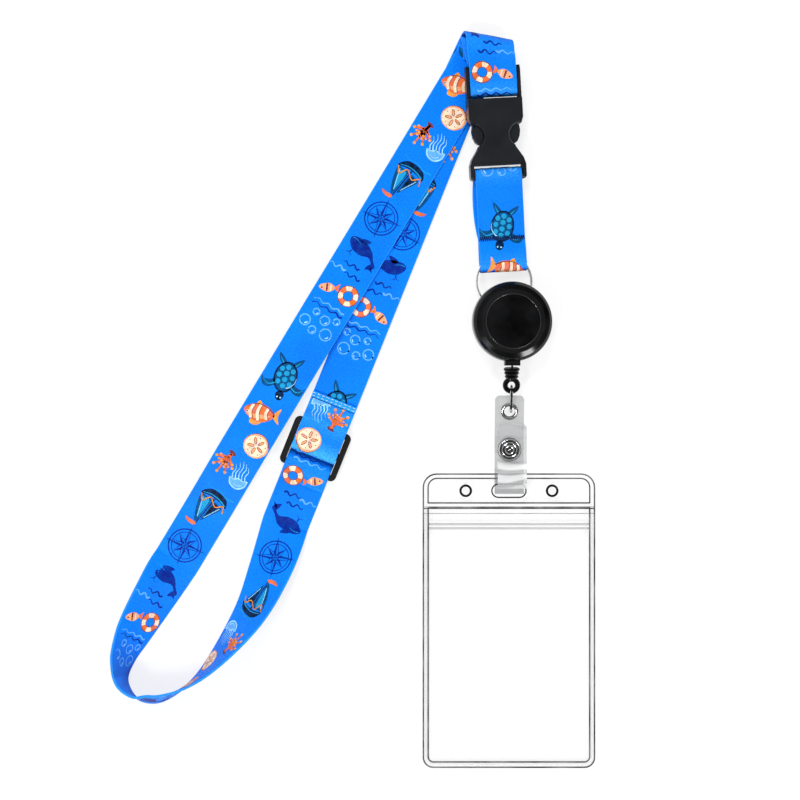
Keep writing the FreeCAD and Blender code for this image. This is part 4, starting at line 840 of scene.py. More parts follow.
def tab_stations():
    bar_turn = TAB_BAR_RADIUS + WRAP_GAP + GAUGE / 2
    ring_turn = RING_WIRE + RING_CLEAR + GAUGE / 2
    ring_y = math.sqrt(RING_RADIUS**2 - (WIDTH / 2)**2)
    ring_top = RING_RADIUS + 1.2 * RING_WIRE
    close = LAYER / 2

    def face(y, height, sign):
        return crosswise(train, y, sign * height, (0, 0, sign))

    front = round_bar(TAB_BAR_Y, bar_turn, 90, 0, 8, 1)
    below = round_bar(ring_y, ring_turn, 0, 180, 16)
    back = round_bar(TAB_BAR_Y, bar_turn, 180, 90, 8, 1)
    made = front + between(front[-1], face(TAB_STITCH_Y, close, 1), TAB_STEPS)[1:]
    made += between(made[-1], face(ring_top, ring_turn, 1), 4)[1:] + below
    made += between(face(ring_top, ring_turn, -1), face(TAB_STITCH_Y, close, -1), 4)
    behind = between(made[-1], back[0], TAB_STEPS)[1:]
    drift = train.to_3x3() @ Vector((-TAB_DRIFT, 0, 0))
    for i, place in enumerate(behind[:-1]):
        share = math.sin(math.pi * (i + 1) / TAB_STEPS) ** 0.7
        behind[i] = place._replace(middle=place.middle + drift * share)
    return made + behind + back[1:]


# %% [markdown]
# ## Webbing as sheets
# A grid is laid along each row of stations. Its UV map holds metres across and along the strap, and
# Solidify gives it the webbing's thickness. The same mapping later carries the print.

# %% Ribbon
# A fold is looked for in steps to both sides of a place, by how far the webbing turns over a short span.
FOLD_REACH, FOLD_STEPS, FOLD_SPAN, FULL_FOLD = 5.0 * MM, 4, 1.2 * MM, 1.4
LEVEL, LEAN_RANGE, FACES_AWAY = 0.92, 0.4, -0.2


class Ribbon:
    """Webbing along stations, with places on it by distance across and along."""

    def __init__(self, stations, start=0.0):
        self.stations = stations
        self.along = [start]
        for a, b in zip(stations, stations[1:]):
            self.along.append(self.along[-1] + (b.middle - a.middle).length)
        self.start, self.end = start, self.along[-1]

    def place(self, across, along, lift=0.0):
        i = min(max(bisect.bisect_right(self.along, along) - 1, 0), len(self.stations) - 2)
        a, b = self.stations[i], self.stations[i + 1]
        share = (along - self.along[i]) / max(self.along[i + 1] - self.along[i], 1e-9)
        side = a.across.lerp(b.across, share).normalized()
        half = a.half * (1 - share) + b.half * share
        return (a.middle.lerp(b.middle, share) + side * (across * half / (WIDTH / 2))
                + a.out.lerp(b.out, share).normalized() * lift)

    def fold_at(self, along):
        """How near a fold is, from 0 to 1, and below 0 where it turns out of the light."""
        nearest, final = 0.0, len(self.stations) - 1
        for i in range(-FOLD_STEPS, FOLD_STEPS + 1):
            middle = along + FOLD_REACH * i / FOLD_STEPS
            ends = [bisect.bisect_right(self.along, middle + side * FOLD_SPAN) for side in (-1, 1)]
            first, last = (self.stations[min(end, final)].out for end in ends)
            here_fold = min(first.angle(last) / FULL_FOLD, 1.0)
            nearest = max(nearest, here_fold * (1 - abs(i) / (FOLD_STEPS + 1)))
        here = self.stations[min(bisect.bisect_right(self.along, along), final)].out
        away = min(max((LEVEL - abs(here.z)) / LEAN_RANGE, 0.0), 1.0) if here.y < FACES_AWAY else 0.0
        return nearest * (1 - 2 * away)


ROW_STEP, COLUMNS = 1.0 * MM, 12
SHADOW_REACH, SELVEDGE, SELVEDGE_ANGLE = 3.4 * MM, 0.22 * MM, 60
PLAIN_SHEEN, FLAP_SHEEN = 0.65, 1.7


def flat_strip(columns, rows, half, low, high):
    """A grid with its UV map, and how far across and along the strap each corner lies."""
    mesh = bmesh.new()
    bmesh.ops.create_grid(mesh, x_segments=columns, y_segments=rows, size=1.0)
    strap_map = mesh.loops.layers.uv.new("Strap")
    flat = [(corner.co.x * half, low + (corner.co.y + 1) / 2 * (high - low)) for corner in mesh.verts]
    mesh.verts.index_update()
    for face in mesh.faces:
        for loop in face.loops:
            loop[strap_map].uv = flat[loop.vert.index]
    return mesh, flat


def thicken(piece, gauge, edge_width, edge_angle):
    """Thickness to both sides of a sheet, with softened edges."""
    thick = piece.modifiers.new("Gauge", "SOLIDIFY")
    thick.thickness, thick.offset = gauge, 0.0
    edge = piece.modifiers.new("Selvedge", "BEVEL")
    edge.width, edge.segments, edge.limit_method = edge_width, 2, "ANGLE"
    edge.angle_limit = math.radians(edge_angle)
    return piece


def webbing(name, ribbon, shadow_at=None, sheen=PLAIN_SHEEN):
    """A strip of webbing, with painted sheen and painted shade on its folds, and a painted shadow close
    to the place along it where another layer comes down over it.
    """
    rows = max(int((ribbon.end - ribbon.start) / ROW_STEP), 4)
    mesh, flat = flat_strip(COLUMNS, rows, WIDTH / 2, ribbon.start, ribbon.end)
    fold = mesh.verts.layers.float.new("Fold")
    for corner, (across, along) in zip(mesh.verts, flat):
        corner.co = ribbon.place(across, along)
        near = ribbon.fold_at(along)
        # Painted sheen where a fold turns up to the light, scaled by sheen, and painted shade where it
        # turns away.
        corner[fold] = near * (sheen if near > 0 else 1.0)
        # Painted shadow, deepest where the layer above comes down over this one.
        if shadow_at:
            corner[fold] -= max(1 - abs(along - shadow_at) / SHADOW_REACH, 0.0)
    piece = smooth(new_piece(name, mesh, webbing_blue))
    return thicken(piece, GAUGE, SELVEDGE, SELVEDGE_ANGLE)


# %% The strap's six pieces
# The first piece holds the left run and the bend up to its eighth place; the rest follow on from it.
SPLIT = 8 * BEND_STEPS
TAB_APART = 20 * MM

bend_row = bend_stations()
lower_start, lower_end = (crosswise(slider, -along, LEVELS[0], UP) for along in (LOWER_RUN, REACH))
left_ribbon = Ribbon(left_stations()[:-1] + bend_row[:SPLIT + 1])
lower_ribbon = Ribbon(bend_row[SPLIT:] + between(lower_start, lower_end, 12)[1:], left_ribbon.end)
through_ribbon = Ribbon(slider_wave(spaced(-REACH, REACH, 72), run_height), lower_ribbon.end)
buckle_ribbon = Ribbon(buckle_side_stations(), through_ribbon.end)
flap_ribbon = Ribbon(flap_stations(), buckle_ribbon.end)
tab_ribbon = Ribbon(tab_stations(), flap_ribbon.end + TAB_APART)

ribbons = {
    "webbing_left": left_ribbon, "webbing_lower": lower_ribbon, "webbing_through": through_ribbon,
    "webbing_buckle_side": buckle_ribbon, "webbing_flap": flap_ribbon, "webbing_tab": tab_ribbon,
}
# The through strap gets a painted shadow under the lowest point of the flap's roll, and the flap a stronger
# painted sheen.
roll_low = min((slider.inverted() @ place.middle).y for place in flap_ribbon.stations) - GAUGE / 2
SHADED = {"webbing_through": (through_ribbon.start + roll_low + REACH,), "webbing_flap": (None, FLAP_SHEEN)}
straps = {name: webbing(name, ribbon, *SHADED.get(name, ())) for name, ribbon in ribbons.items()}
for name, ribbon in ribbons.items():
    print(f"{name}: {(ribbon.end - ribbon.start) / MM:.0f} mm")

# %% [markdown]
# ## The print
# Little sea motifs repeat along the strap on both faces. Each motif is a list of flat shapes in
# millimetres: an outline, a colour and a layer. The fourth number of a colour is how much it hides
# the blue below it. The shapes are then laid on the webbing, cut where it bends.

# %% Flat shapes
Shape = namedtuple("Shape", "points colour layer")

DEEP = (0.0, 0.006, 0.022, 1.0)
TEAL = (0.0, 0.055, 0.14, 0.96)
SEA = (0.01, 0.30, 0.56, 0.95)
FOAM = (0.42, 0.78, 1.0, 0.85)
NAVY = (0.0, 0.010, 0.22, 0.97)
FAINT = (0.20, 0.55, 1.0, 0.6)
ORANGE = (0.78, 0.15, 0.012, 1.0)
RUST = (0.17, 0.022, 0.006, 1.0)
PEACH = (0.88, 0.36, 0.14, 1.0)
CREAM = (0.92, 0.68, 0.46, 1.0)
GOLD = (0.88, 0.33, 0.010, 1.0)


def spun(x, y, angle):
    return x * math.cos(angle) - y * math.sin(angle), x * math.sin(angle) + y * math.cos(angle)


def ellipse(x, y, wide, high, colour, layer=0, turn=0.0, count=18):
    points = []
    for i in range(count):
        a = 2 * math.pi * i / count
        u, v = spun(wide * math.cos(a), high * math.sin(a), math.radians(turn))
        points.append((x + u, y + v))
    return [Shape(points, colour, layer)]


def dot(x, y, radius, colour, layer, count=8):
    return ellipse(x, y, radius, radius, colour, layer, 0, count)


def stroke(points, width, colour, layer, end_width=None, closed=False):
    """A line of quads whose width can run out towards its end."""
    if closed:
        points = points + points[:2]
    last = width if end_width is None else end_width
    sides = []
    for i, (x, y) in enumerate(points):
        ahead, behind = points[min(i + 1, len(points) - 1)], points[max(i - 1, 0)]
        dx, dy = ahead[0] - behind[0], ahead[1] - behind[1]
        half = (width + (last - width) * i / (len(points) - 1)) / 2 / (math.hypot(dx, dy) or 1.0)
        sides.append(((x - dy * half, y + dx * half), (x + dy * half, y - dx * half)))
    return [Shape([a[0], a[1], b[1], b[0]], colour, layer) for a, b in zip(sides, sides[1:])]


def curve(points, steps=4, closed=False):
    """A smooth row of points through a few."""
    points = [Vector((x, y, 0)) for x, y in points]
    if closed:
        row = [points[-1]] + points + points[:2]
    else:
        row = [points[0] * 2 - points[1]] + points + [points[-1] * 2 - points[-2]]
    line = smooth_line(row, steps)
    if closed:
        line = line[:-1]
    return [(p.x, p.y) for p in line]


def ring_points(x, y, radius, count, start=0.0, sweep=360.0):
    steps = [math.radians(start + sweep * i / count) for i in range(count + (sweep < 360))]
    return [(x + radius * math.cos(a), y + radius * math.sin(a)) for a in steps]


def curved(points, width, colour, layer, end_width=None):
    return stroke(curve(points), width, colour, layer, end_width)


def blob(points, colour, layer=0, steps=4):
    return [Shape(curve(points, steps, True), colour, layer)]


def both_sides(shapes):
    """Shapes and their mirror images."""
    return shapes + [Shape([(-x, y) for x, y in reversed(s.points)], s.colour, s.layer) for s in shapes]


# %% Motifs
def turtle():
    front = blob([(2.6, 3.2), (4.8, 5.0), (7.2, 4.6), (8.2, 1.6), (7.0, 2.6), (4.6, 2.2), (3.4, 1.4)], TEAL)
    front += curved([(3.0, 3.0), (5.2, 4.0), (7.6, 2.6)], 0.5, SEA, 1, 0.1)
    back = blob([(2.2, -4.0), (3.8, -5.4), (4.6, -7.8), (2.8, -6.8), (1.2, -5.2)], TEAL)
    back += stroke([(2.2, -4.6), (3.8, -6.6)], 0.5, SEA, 1, 0.1)
    made = both_sides(front + back)
    made += blob([(0, 5.0), (1.4, 6.0), (1.2, 7.8), (0, 8.6), (-1.2, 7.8), (-1.4, 6.0)], DEEP)
    made += both_sides(dot(0.6, 7.4, 0.3, FOAM, 1))
    made += ellipse(0, 0, 4.2, 5.6, DEEP) + ellipse(0, 0, 3.6, 5.0, TEAL, 1)
    for y in (3.2, 0.9, -1.4, -3.6):
        made += ellipse(0, y, 1.05, 1.0, SEA, 2, 30, 6)
    for x, y in ((2.1, 2.1), (2.4, -0.3), (2.0, -2.6)):
        made += both_sides(ellipse(x, y, 0.95, 1.0, SEA, 2, 0, 6))
    return made + stroke(ring_points(0, 0, 3.9, 12, 110, 80), 0.35, FOAM, 3, 0.1)


def striped_fish():
    body = [(-5.0, 0.2), (-2.6, 2.6), (0.8, 3.2), (4.2, 1.6), (5.6, -0.2), (4.2, -1.8), (0.8, -3.0),
            (-2.6, -2.2)]
    made = blob(body, ORANGE) + blob([(-4.4, 0.2), (-6.8, 2.8), (-6.2, 0.2), (-6.8, -2.6)], GOLD)
    made += blob([(-1.0, 2.7), (0.4, 4.4), (2.8, 4.0), (2.4, 2.4)], GOLD, -1)
    made += blob([(-0.4, -2.4), (0.8, -4.0), (1.8, -2.6)], GOLD, -1)
    made += blob([(-3.6, 0.6), (-1.6, 1.8), (2.2, 2.2), (4.4, 0.9), (1.6, 0.9), (-1.6, 0.6)], PEACH, 1)
    for x, high in ((-2.6, 2.0), (0.2, 2.8), (2.7, 2.3)):
        band = curve([(x, high), (x + 0.7, 0.1), (x, -high)])
        made += stroke(band, 1.05, CREAM, 2) + stroke([(a - 0.6, b) for a, b in band], 0.22, RUST, 3)
    made += curved([(-4.8, -0.4), (-1.5, -2.4), (2.0, -2.7), (4.6, -1.3)], 0.4, RUST, 3, 0.12)
    return made + dot(4.3, 0.4, 0.5, CREAM, 3, 10) + dot(4.4, 0.4, 0.28, DEEP, 4)


def sand_dollar():
    made = ellipse(0, 0, 4.6, 4.3, PEACH) + ellipse(0.1, 0.15, 4.1, 3.8, CREAM, 1)
    for i in range(5):
        turn = 90 + 72 * i
        a = math.radians(turn)
        made += ellipse(1.9 * math.cos(a), 1.9 * math.sin(a), 1.35, 0.55, RUST, 2, turn, 12)
        made += ellipse(1.9 * math.cos(a), 1.9 * math.sin(a), 1.1, 0.33, PEACH, 3, turn, 12)
        b = math.radians(turn + 36)
        made += dot(3.3 * math.cos(b), 3.1 * math.sin(b), 0.2, RUST, 2, 7)
    return made + stroke(ring_points(0, 0, 4.35, 16, 200, 150), 0.3, RUST, 2, 0.1)


def jellyfish():
    bell = [(-3.4, 0.6), (-2.7, 3.0), (0, 4.4), (2.7, 3.0), (3.4, 0.6)]
    hem_line = [(1.7, 1.1), (0, 0.5), (-1.7, 1.1)]
    made = blob(bell + hem_line, FAINT) + curved(bell, 0.5, FOAM, 1)
    made += curved(bell[:1] + hem_line[::-1] + bell[-1:], 0.4, FOAM, 1)
    made += curved([(-1.6, 2.6), (0, 3.3), (1.6, 2.6)], 0.3, FOAM, 1, 0.1)
    for x, sway, long in ((-2.4, 0.35, 5.2), (-1.2, 0.4, 6.4), (0.0, 0.35, 6.9), (1.2, 0.4, 6.2),
                          (2.4, 0.35, 5.0)):
        tail = [(x + sway * to, 0.7 - long * down)
                for to, down in ((0, 0), (1, 0.33), (-1, 0.66), (0.4, 1))]
        made += curved(tail, 0.45, FOAM, 1, 0.12)
    return made


def coral():
    made = ellipse(0, -4.9, 1.7, 0.7, RUST, 0, 0, 12)
    for bend, long in ((-40, 6.4), (-19, 8.6), (2, 9.6), (22, 8.4), (43, 6.2)):
        a, b = math.radians(90 + bend), math.radians(90 + bend * 0.4)
        half = (long * 0.45 * math.cos(b), long * 0.45 * math.sin(b) - 4.8)
        tip = (long * math.cos(a), long * math.sin(a) - 4.8)
        branch = curve([(0, -4.8), half, tip])
        made += stroke(branch, 1.25, RUST, 1, 0.75) + stroke(branch, 0.9, ORANGE, 2, 0.5)
        made += dot(*tip, 0.62, GOLD, 3, 9)
        for side in (-34, 30):
            c = math.radians(90 + bend + side)
            twig = (half[0] + 2.5 * math.cos(c), half[1] + 2.5 * math.sin(c))
            made += stroke([half, twig], 0.7, ORANGE, 2, 0.5) + dot(*twig, 0.48, GOLD, 3)
    return made


def sailboat():
    made = blob([(-4.6, -2.8), (-3.4, -5.2), (0, -5.9), (3.2, -5.2), (5.0, -2.4), (1.5, -3.4),
                 (-2.0, -3.4)], DEEP)
    made += curved([(-4.0, -3.3), (-1.5, -4.0), (1.5, -4.0), (4.4, -3.0)], 0.45, SEA, 1, 0.2)
    made += stroke([(0, -3.4), (0.1, 7.6)], 0.5, DEEP, 1, 0.3)
    made += blob([(0.6, 6.6), (3.2, 2.6), (4.6, -2.0), (2.4, -2.4), (0.6, -2.4), (0.5, 2.0)], TEAL, 0, 3)
    made += blob([(0.9, 4.6), (2.4, 1.8), (3.2, -1.4), (1.0, -1.8)], SEA, 1, 3)
    made += blob([(-0.5, 5.2), (-2.2, 1.8), (-3.8, -1.8), (-2.2, -2.3), (-0.5, -2.3), (-0.4, 1.4)],
                 TEAL, 0, 3)
    made += blob([(-0.8, 2.6), (-2.0, 0.4), (-2.6, -1.6), (-0.9, -1.8)], DEEP, 1, 3)
    made += stroke([(1.0, 4.8), (3.6, -1.8)], 0.2, FOAM, 2)
    made += stroke([(-0.9, 3.8), (-3.2, -1.6)], 0.18, FOAM, 2)
    made += blob([(0.2, 7.6), (2.6, 7.9), (4.0, 6.9), (2.2, 6.8), (0.2, 6.6)], ORANGE, 2, 3)
    rope = curve([(4.6, -2.4), (3.0, -0.4), (1.4, -3.0), (-1.6, -1.2), (-3.6, -3.0), (-4.8, -1.0)])
    made += stroke(rope, 0.5, RUST, 3) + stroke(rope, 0.26, GOLD, 4)
    swell = curve([(-5.4, -6.4), (-2.7, -5.8), (0, -6.6), (2.7, -5.9), (5.4, -6.4)])
    return made + stroke(swell, 0.45, SEA, 2, 0.15)


def compass():
    made = []
    for radius, width in ((6.0, 0.42), (4.9, 0.26), (1.3, 0.3)):
        made += stroke(ring_points(0, 0, radius, 28), width, NAVY, 0, closed=True)
    for i in range(8):
        long = 7.4 if i % 2 == 0 else 4.6
        a, b = math.radians(45 * i), math.radians(45 * i + 22.5)
        tip, inner = (long * math.cos(a), long * math.sin(a)), (1.9 * math.cos(b), 1.9 * math.sin(b))
        before = (1.9 * math.cos(a - b + a), 1.9 * math.sin(a - b + a))
        made += stroke([before, tip, inner], 0.26, NAVY, 1)
        made.append(Shape([(0, 0), tip, inner], NAVY, 2))
    return made


def whale():
    back = [(-6.6, 3.4), (-5.2, 1.4), (-3.0, 0.6), (0, 2.2), (3.6, 2.4), (6.2, 0.8), (6.8, -1.0),
            (5.0, -2.4), (1.0, -2.9), (-2.6, -2.0), (-5.0, 0.0), (-7.4, 1.6)]
    made = blob(back, NAVY) + blob([(-6.0, 2.0), (-8.0, 3.8), (-6.6, 3.6), (-5.0, 4.6), (-5.2, 2.2)], NAVY)
    made += blob([(1.4, -1.8), (0.0, -4.4), (2.6, -3.6), (3.6, -2.2)], NAVY)
    made += curved([(6.4, -1.0), (4.6, -1.5), (2.4, -1.1)], 0.25, SEA, 1, 0.1)
    for spout in ([(3.4, 2.6), (3.2, 4.0), (2.0, 4.6)], [(3.4, 2.6), (3.8, 4.0), (5.0, 4.5)]):
        made += curved(spout, 0.3, NAVY, 1, 0.1)
    return made


def waves():
    made = []
    for x, y, colour in ((-3.4, 1.4, NAVY), (3.0, 0.2, FAINT), (-1.4, -2.2, NAVY)):
        crest = [(x - 3.2 + 0.32 * i, y + 0.6 * math.sin(0.62 * i)) for i in range(21)]
        made += stroke(crest, 0.75, colour, 0, 0.3)
    return made


def life_ring():
    made = []
    for i in range(8):
        arc = ring_points(0, 0, 2.7, 4, 45 * i, 45)
        made += stroke(arc, 1.9, ORANGE if i % 2 else CREAM, 0)
    made += stroke(ring_points(0, 0, 3.7, 20), 0.26, RUST, 1, closed=True)
    return made + stroke(ring_points(0, 0, 1.75, 16), 0.24, RUST, 1, closed=True)


def little_fish():
    made = blob([(-2.4, 0), (-0.4, 1.5), (2.2, 0.9), (3.2, 0), (2.2, -0.9), (-0.4, -1.5)], PEACH)
    made += blob([(-2.2, 0), (-4.0, 1.5), (-3.5, 0), (-4.0, -1.5)], ORANGE)
    for x, high, width, colour in ((0.4, 1.3, 0.6, RUST), (-0.9, 1.1, 0.5, CREAM)):
        made += stroke([(x, high), (x, -high)], width, colour, 1)
    return made + dot(2.1, 0.2, 0.3, DEEP, 2, 7)


def bubbles():
    made = []
    for x, y, radius in ((-4.0, 2.6, 2.0), (0.8, 3.4, 1.3), (4.6, 1.6, 1.8), (-1.4, -1.4, 1.6),
                         (2.6, -2.6, 1.1), (-5.0, -3.0, 1.1)):
        made += stroke(ring_points(x, y, radius, 16), 0.42, FAINT, 0, closed=True)
        made += stroke(ring_points(x, y, radius * 0.6, 4, 110, 60), 0.32, FOAM, 1)
    for y, colour in ((-5.2, NAVY), (-6.6, FAINT)):
        swell = [(-5.8 + 0.4 * i, y + 0.4 * math.sin(0.7 * i)) for i in range(30)]
        made += stroke(swell, 0.6, colour, 0, 0.2)
    return made


# %% Where the motifs go
# A motif, its place across and along the strap in millimetres, its turn and its size.
REPEAT = 155.0
PATTERN = [
    (turtle, 0.4, 9.5, 12, 1.15), (striped_fish, 1.8, 27.0, 18, 1.2), (sand_dollar, -3.8, 39.5, 0, 1.15),
    (coral, 4.0, 51.5, -14, 1.0), (jellyfish, -4.4, 54.0, 12, 1.1), (sailboat, 0.2, 71.0, -8, 1.25),
    (compass, 0.4, 89.5, 9, 1.12), (whale, -0.2, 104.5, -14, 1.08), (waves, 2.2, 114.5, 4, 1.1),
    (life_ring, -4.4, 123.5, 0, 1.15), (little_fish, 4.4, 124.5, 24, 1.2), (bubbles, 0.2, 138.5, 0, 1.2),
]
BACK_SHIFT = 61.0
MOTIF_REACH, CUT_REACH = 11.0 * MM, 9.5 * MM
PRINT_LIFT, LAYER_LIFT = 0.04 * MM, 0.012 * MM
CUT_STEP = 1.0 * MM
PRINT_EDGE = WIDTH / 2 - 0.45 * MM
# Warm colours are lighter and darker in turn over a motif, as ink on cloth is.
WARM, TONE_RANGE = 0.3, 0.16


def motif_mesh(shapes, across, along, turn, size, low, high):
    """A motif laid flat in strap coordinates, cut at even steps along and trimmed at the edges."""
    mesh = bmesh.new()
    ink = mesh.verts.layers.float_color.new("Ink")
    angle = math.radians(turn)
    for shape in shapes:
        corners = []
        for x, y in shape.points:
            u, v = spun(x * size * MM, y * size * MM, angle)
            corner = mesh.verts.new((across + u, along + v, (shape.layer + 1) * LAYER_LIFT))
            tone = 1.0 + TONE_RANGE * math.sin(1.3 * x + 0.9 * y) * (shape.colour[0] > WARM)
            corner[ink] = (*(min(c * tone, 1.0) for c in shape.colour[:3]), shape.colour[3])
            corners.append(corner)
        mesh.faces.new(corners)
    bmesh.ops.triangulate(mesh, faces=[f for f in mesh.faces if len(f.verts) > 4])
    planes = [((side * PRINT_EDGE, 0, 0), (side, 0, 0), True) for side in (-1, 1)]
    planes += [((0, low, 0), (0, -1, 0), True), ((0, high, 0), (0, 1, 0), True)]
    reach = CUT_REACH * size
    cut = math.ceil((along - reach) / CUT_STEP) * CUT_STEP
    while cut < along + reach:
        planes.append(((0, cut, 0), (0, 1, 0), False))
        cut += CUT_STEP
    for point, way, trim in planes:
        everything = mesh.verts[:] + mesh.edges[:] + mesh.faces[:]
        if everything:
            bmesh.ops.bisect_plane(mesh, geom=everything, plane_co=point, plane_no=way, clear_outer=trim,
                                   dist=1e-7)
    return mesh


def print_on(name, ribbon):
    """The pattern on both faces of a strap, as one piece."""
    whole = bmesh.new()
    ink = whole.verts.layers.float_color.new("Ink")
    strap_map = whole.loops.layers.uv.new("Strap")

    def lay(flat, side):
        flat_ink = flat.verts.layers.float_color["Ink"]
        copies = {}
        for corner in flat.verts:
            lift = side * (GAUGE / 2 + PRINT_LIFT + corner.co.z)
            copies[corner] = whole.verts.new(ribbon.place(corner.co.x, corner.co.y, lift))
            copies[corner][ink] = corner[flat_ink]
        for face in flat.faces:
            corners = list(face.verts)[::side]
            made = whole.faces.new([copies[corner] for corner in corners])
            for loop, corner in zip(made.loops, corners):
                loop[strap_map].uv = corner.co.xy
        flat.free()

    for side, shift in ((1, 0.0), (-1, BACK_SHIFT)):
        first = math.floor((ribbon.start / MM - shift - REPEAT) / REPEAT)
        last = math.ceil((ribbon.end / MM - shift) / REPEAT)
        for turn_number in range(first, last + 1):
            for motif, across, along, turn, size in PATTERN:
                middle = (turn_number * REPEAT + along + shift) * MM
                if ribbon.start - MOTIF_REACH < middle < ribbon.end + MOTIF_REACH:
                    flat = motif_mesh(motif(), across * MM, middle, turn, size, ribbon.start, ribbon.end)
                    lay(flat, side)
    return smooth(new_piece(name, whole, webbing_ink))


prints = {name: print_on(name.replace("webbing", "print"), ribbon) for name, ribbon in ribbons.items()}
print("print:", {name: len(piece.data.polygons) for name, piece in prints.items()})

# %% [markdown]
# ## Hem and stitches
# The flap's raw end is turned under, which leaves a raised hem with two rows of pale stitches. The
# tab is closed below the buckle by a dense zigzag in dark thread. Every stitch is a short six-sided
# thread, because hundreds of them must stay light.

# %% Threads
def rod(mesh, first, last, radius, segments):
    """A straight round rod from one place to another."""
    way = last - first
    turn = way.to_track_quat("Z", "Y").to_matrix().to_4x4()
    bmesh.ops.create_cone(mesh, cap_ends=True, segments=segments, radius1=radius, radius2=radius,
                          depth=way.length, matrix=Matrix.Translation((first + last) / 2) @ turn)


def threads(name, ribbon, runs, lift, radius, paint):
    """Straight threads on a strap; each run is two places of (across, along)."""
    mesh = bmesh.new()
    for first, last in runs:
        rod(mesh, ribbon.place(*first, lift), ribbon.place(*last, lift), radius, 6)
    return smooth(new_piece(name, mesh, paint))


# %% Hem of the flap
HEM_WIDTH, HEM_RISE, HEM_MARGIN = 2.4 * MM, 0.34 * MM, 0.05 * MM
STITCH, STITCH_GAP, STITCH_COUNT, STITCH_FROM = 1.15 * MM, 0.75 * MM, 10, -9.2 * MM
STITCH_ROWS = (0.55 * MM, 1.75 * MM)
SEAM_BACK, SEAM_HALF = 0.12 * MM, 9.3 * MM
STITCH_RADIUS, SEAM_RADIUS = 0.13 * MM, 0.17 * MM
STITCH_LIFT, SEAM_LIFT, ZIGZAG_LIFT = 0.04 * MM, 0.06 * MM, 0.05 * MM
HEM_EDGE, HEM_ANGLE = 0.12 * MM, 30

hem_mesh, hem_flat = flat_strip(COLUMNS, 3, WIDTH / 2 - HEM_MARGIN, flap_ribbon.end - HEM_WIDTH,
                                flap_ribbon.end)
for corner, place in zip(hem_mesh.verts, hem_flat):
    corner.co = flap_ribbon.place(*place, -(GAUGE + HEM_RISE) / 2)
# The hem's paler blue is painted light.
flap_hem = smooth(new_piece("flap_hem", hem_mesh, lit_hem_blue))
thicken(flap_hem, HEM_RISE, HEM_EDGE, HEM_ANGLE)

hem_runs = []
for i in range(STITCH_COUNT):
    left = STITCH_FROM + i * (STITCH + STITCH_GAP)
    for back in STITCH_ROWS:
        hem_runs.append(((left, flap_ribbon.end - back), (left + STITCH, flap_ribbon.end - back)))
seam = flap_ribbon.end - HEM_WIDTH - SEAM_BACK
hem_stitches = threads("hem_stitches", flap_ribbon, hem_runs, -(GAUGE / 2 + HEM_RISE + STITCH_LIFT),
                       STITCH_RADIUS, thread_white)
hem_seam = threads("hem_seam", flap_ribbon, [((-SEAM_HALF, seam), (SEAM_HALF, seam))],
                   -(GAUGE / 2 + SEAM_LIFT), SEAM_RADIUS, thread_navy)

# %% Zigzag of the tab
ZIGZAG_PITCH, ZIGZAG_HALF, ZIGZAG_COUNT = 0.42 * MM, 0.95 * MM, 44
# The tab's stations where its two layers come together, in front and behind.
ZIGZAG_STATIONS = (22, 48)

zigzag_runs = []
for number in ZIGZAG_STATIONS:
    middle = tab_ribbon.along[number]
    for i in range(ZIGZAG_COUNT):
        left = (i - ZIGZAG_COUNT / 2) * ZIGZAG_PITCH
        rise = ZIGZAG_HALF if i % 2 else -ZIGZAG_HALF
        zigzag_runs.append(((left, middle - rise), (left + ZIGZAG_PITCH, middle + rise)))
tab_zigzag = threads("tab_zigzag", tab_ribbon, zigzag_runs, GAUGE / 2 + ZIGZAG_LIFT, SEAM_RADIUS,
                     thread_navy)
print(f"{len(hem_runs) + 1 + len(zigzag_runs)} threads")

# %% [markdown]
# ## Lip of the reel
# The cover's recess ends in a fine polished lip, which catches light all the way round. A small
# circle is spun about the recess's own axis, which is read from the disc inside it.

# %% Lip
DISC_RADIUS, LIP_RADIUS, LIP_GAP = 10.8 * MM, 0.24 * MM, 0.15 * MM
UPWARD = 0.9

disc_faces = [face for face in nodes["reel_cap_disc"].data.polygons if face.normal.z > UPWARD]
disc_area = sum(face.area for face in disc_faces)
disc_middle = sum((face.center * face.area for face in disc_faces), Vector()) / disc_area
disc_out = sum((face.normal * face.area for face in disc_faces), Vector()).normalized()
lip_mesh = bmesh.new()
lip_side = disc_out.orthogonal().normalized()
lip_turn = Matrix((lip_side, disc_out, lip_side.cross(disc_out))).transposed().to_4x4()
lip_place = Matrix.Translation(disc_middle + lip_side * (DISC_RADIUS + LIP_GAP))
bmesh.ops.create_circle(lip_mesh, cap_ends=False, segments=10, radius=LIP_RADIUS,
                        matrix=lip_place @ lip_turn)
bmesh.ops.spin(lip_mesh, geom=lip_mesh.verts[:] + lip_mesh.edges[:], cent=disc_middle, axis=disc_out,
               angle=2 * math.pi, steps=96, use_merge=True)
bmesh.ops.recalc_face_normals(lip_mesh, faces=lip_mesh.faces[:])
reel_lip = smooth(new_piece("reel_lip", lip_mesh, lip_black))
print(f"reel lip: {2 * DISC_RADIUS / MM:.1f} mm across, "
      f"tilted {math.degrees(disc_out.angle(UP)):.1f} degrees")

# %% [markdown]
# ## Drawn cord
# A straight piece of cord joins the reel's nozzle to the cord's stop. It leaves the nozzle where the
# imported cord does.

# %% Drawn cord
CORD_RADIUS, INSIDE_STOP, FOOT_DEPTH = 0.4 * MM, 1.0 * MM, 0.05 * MM

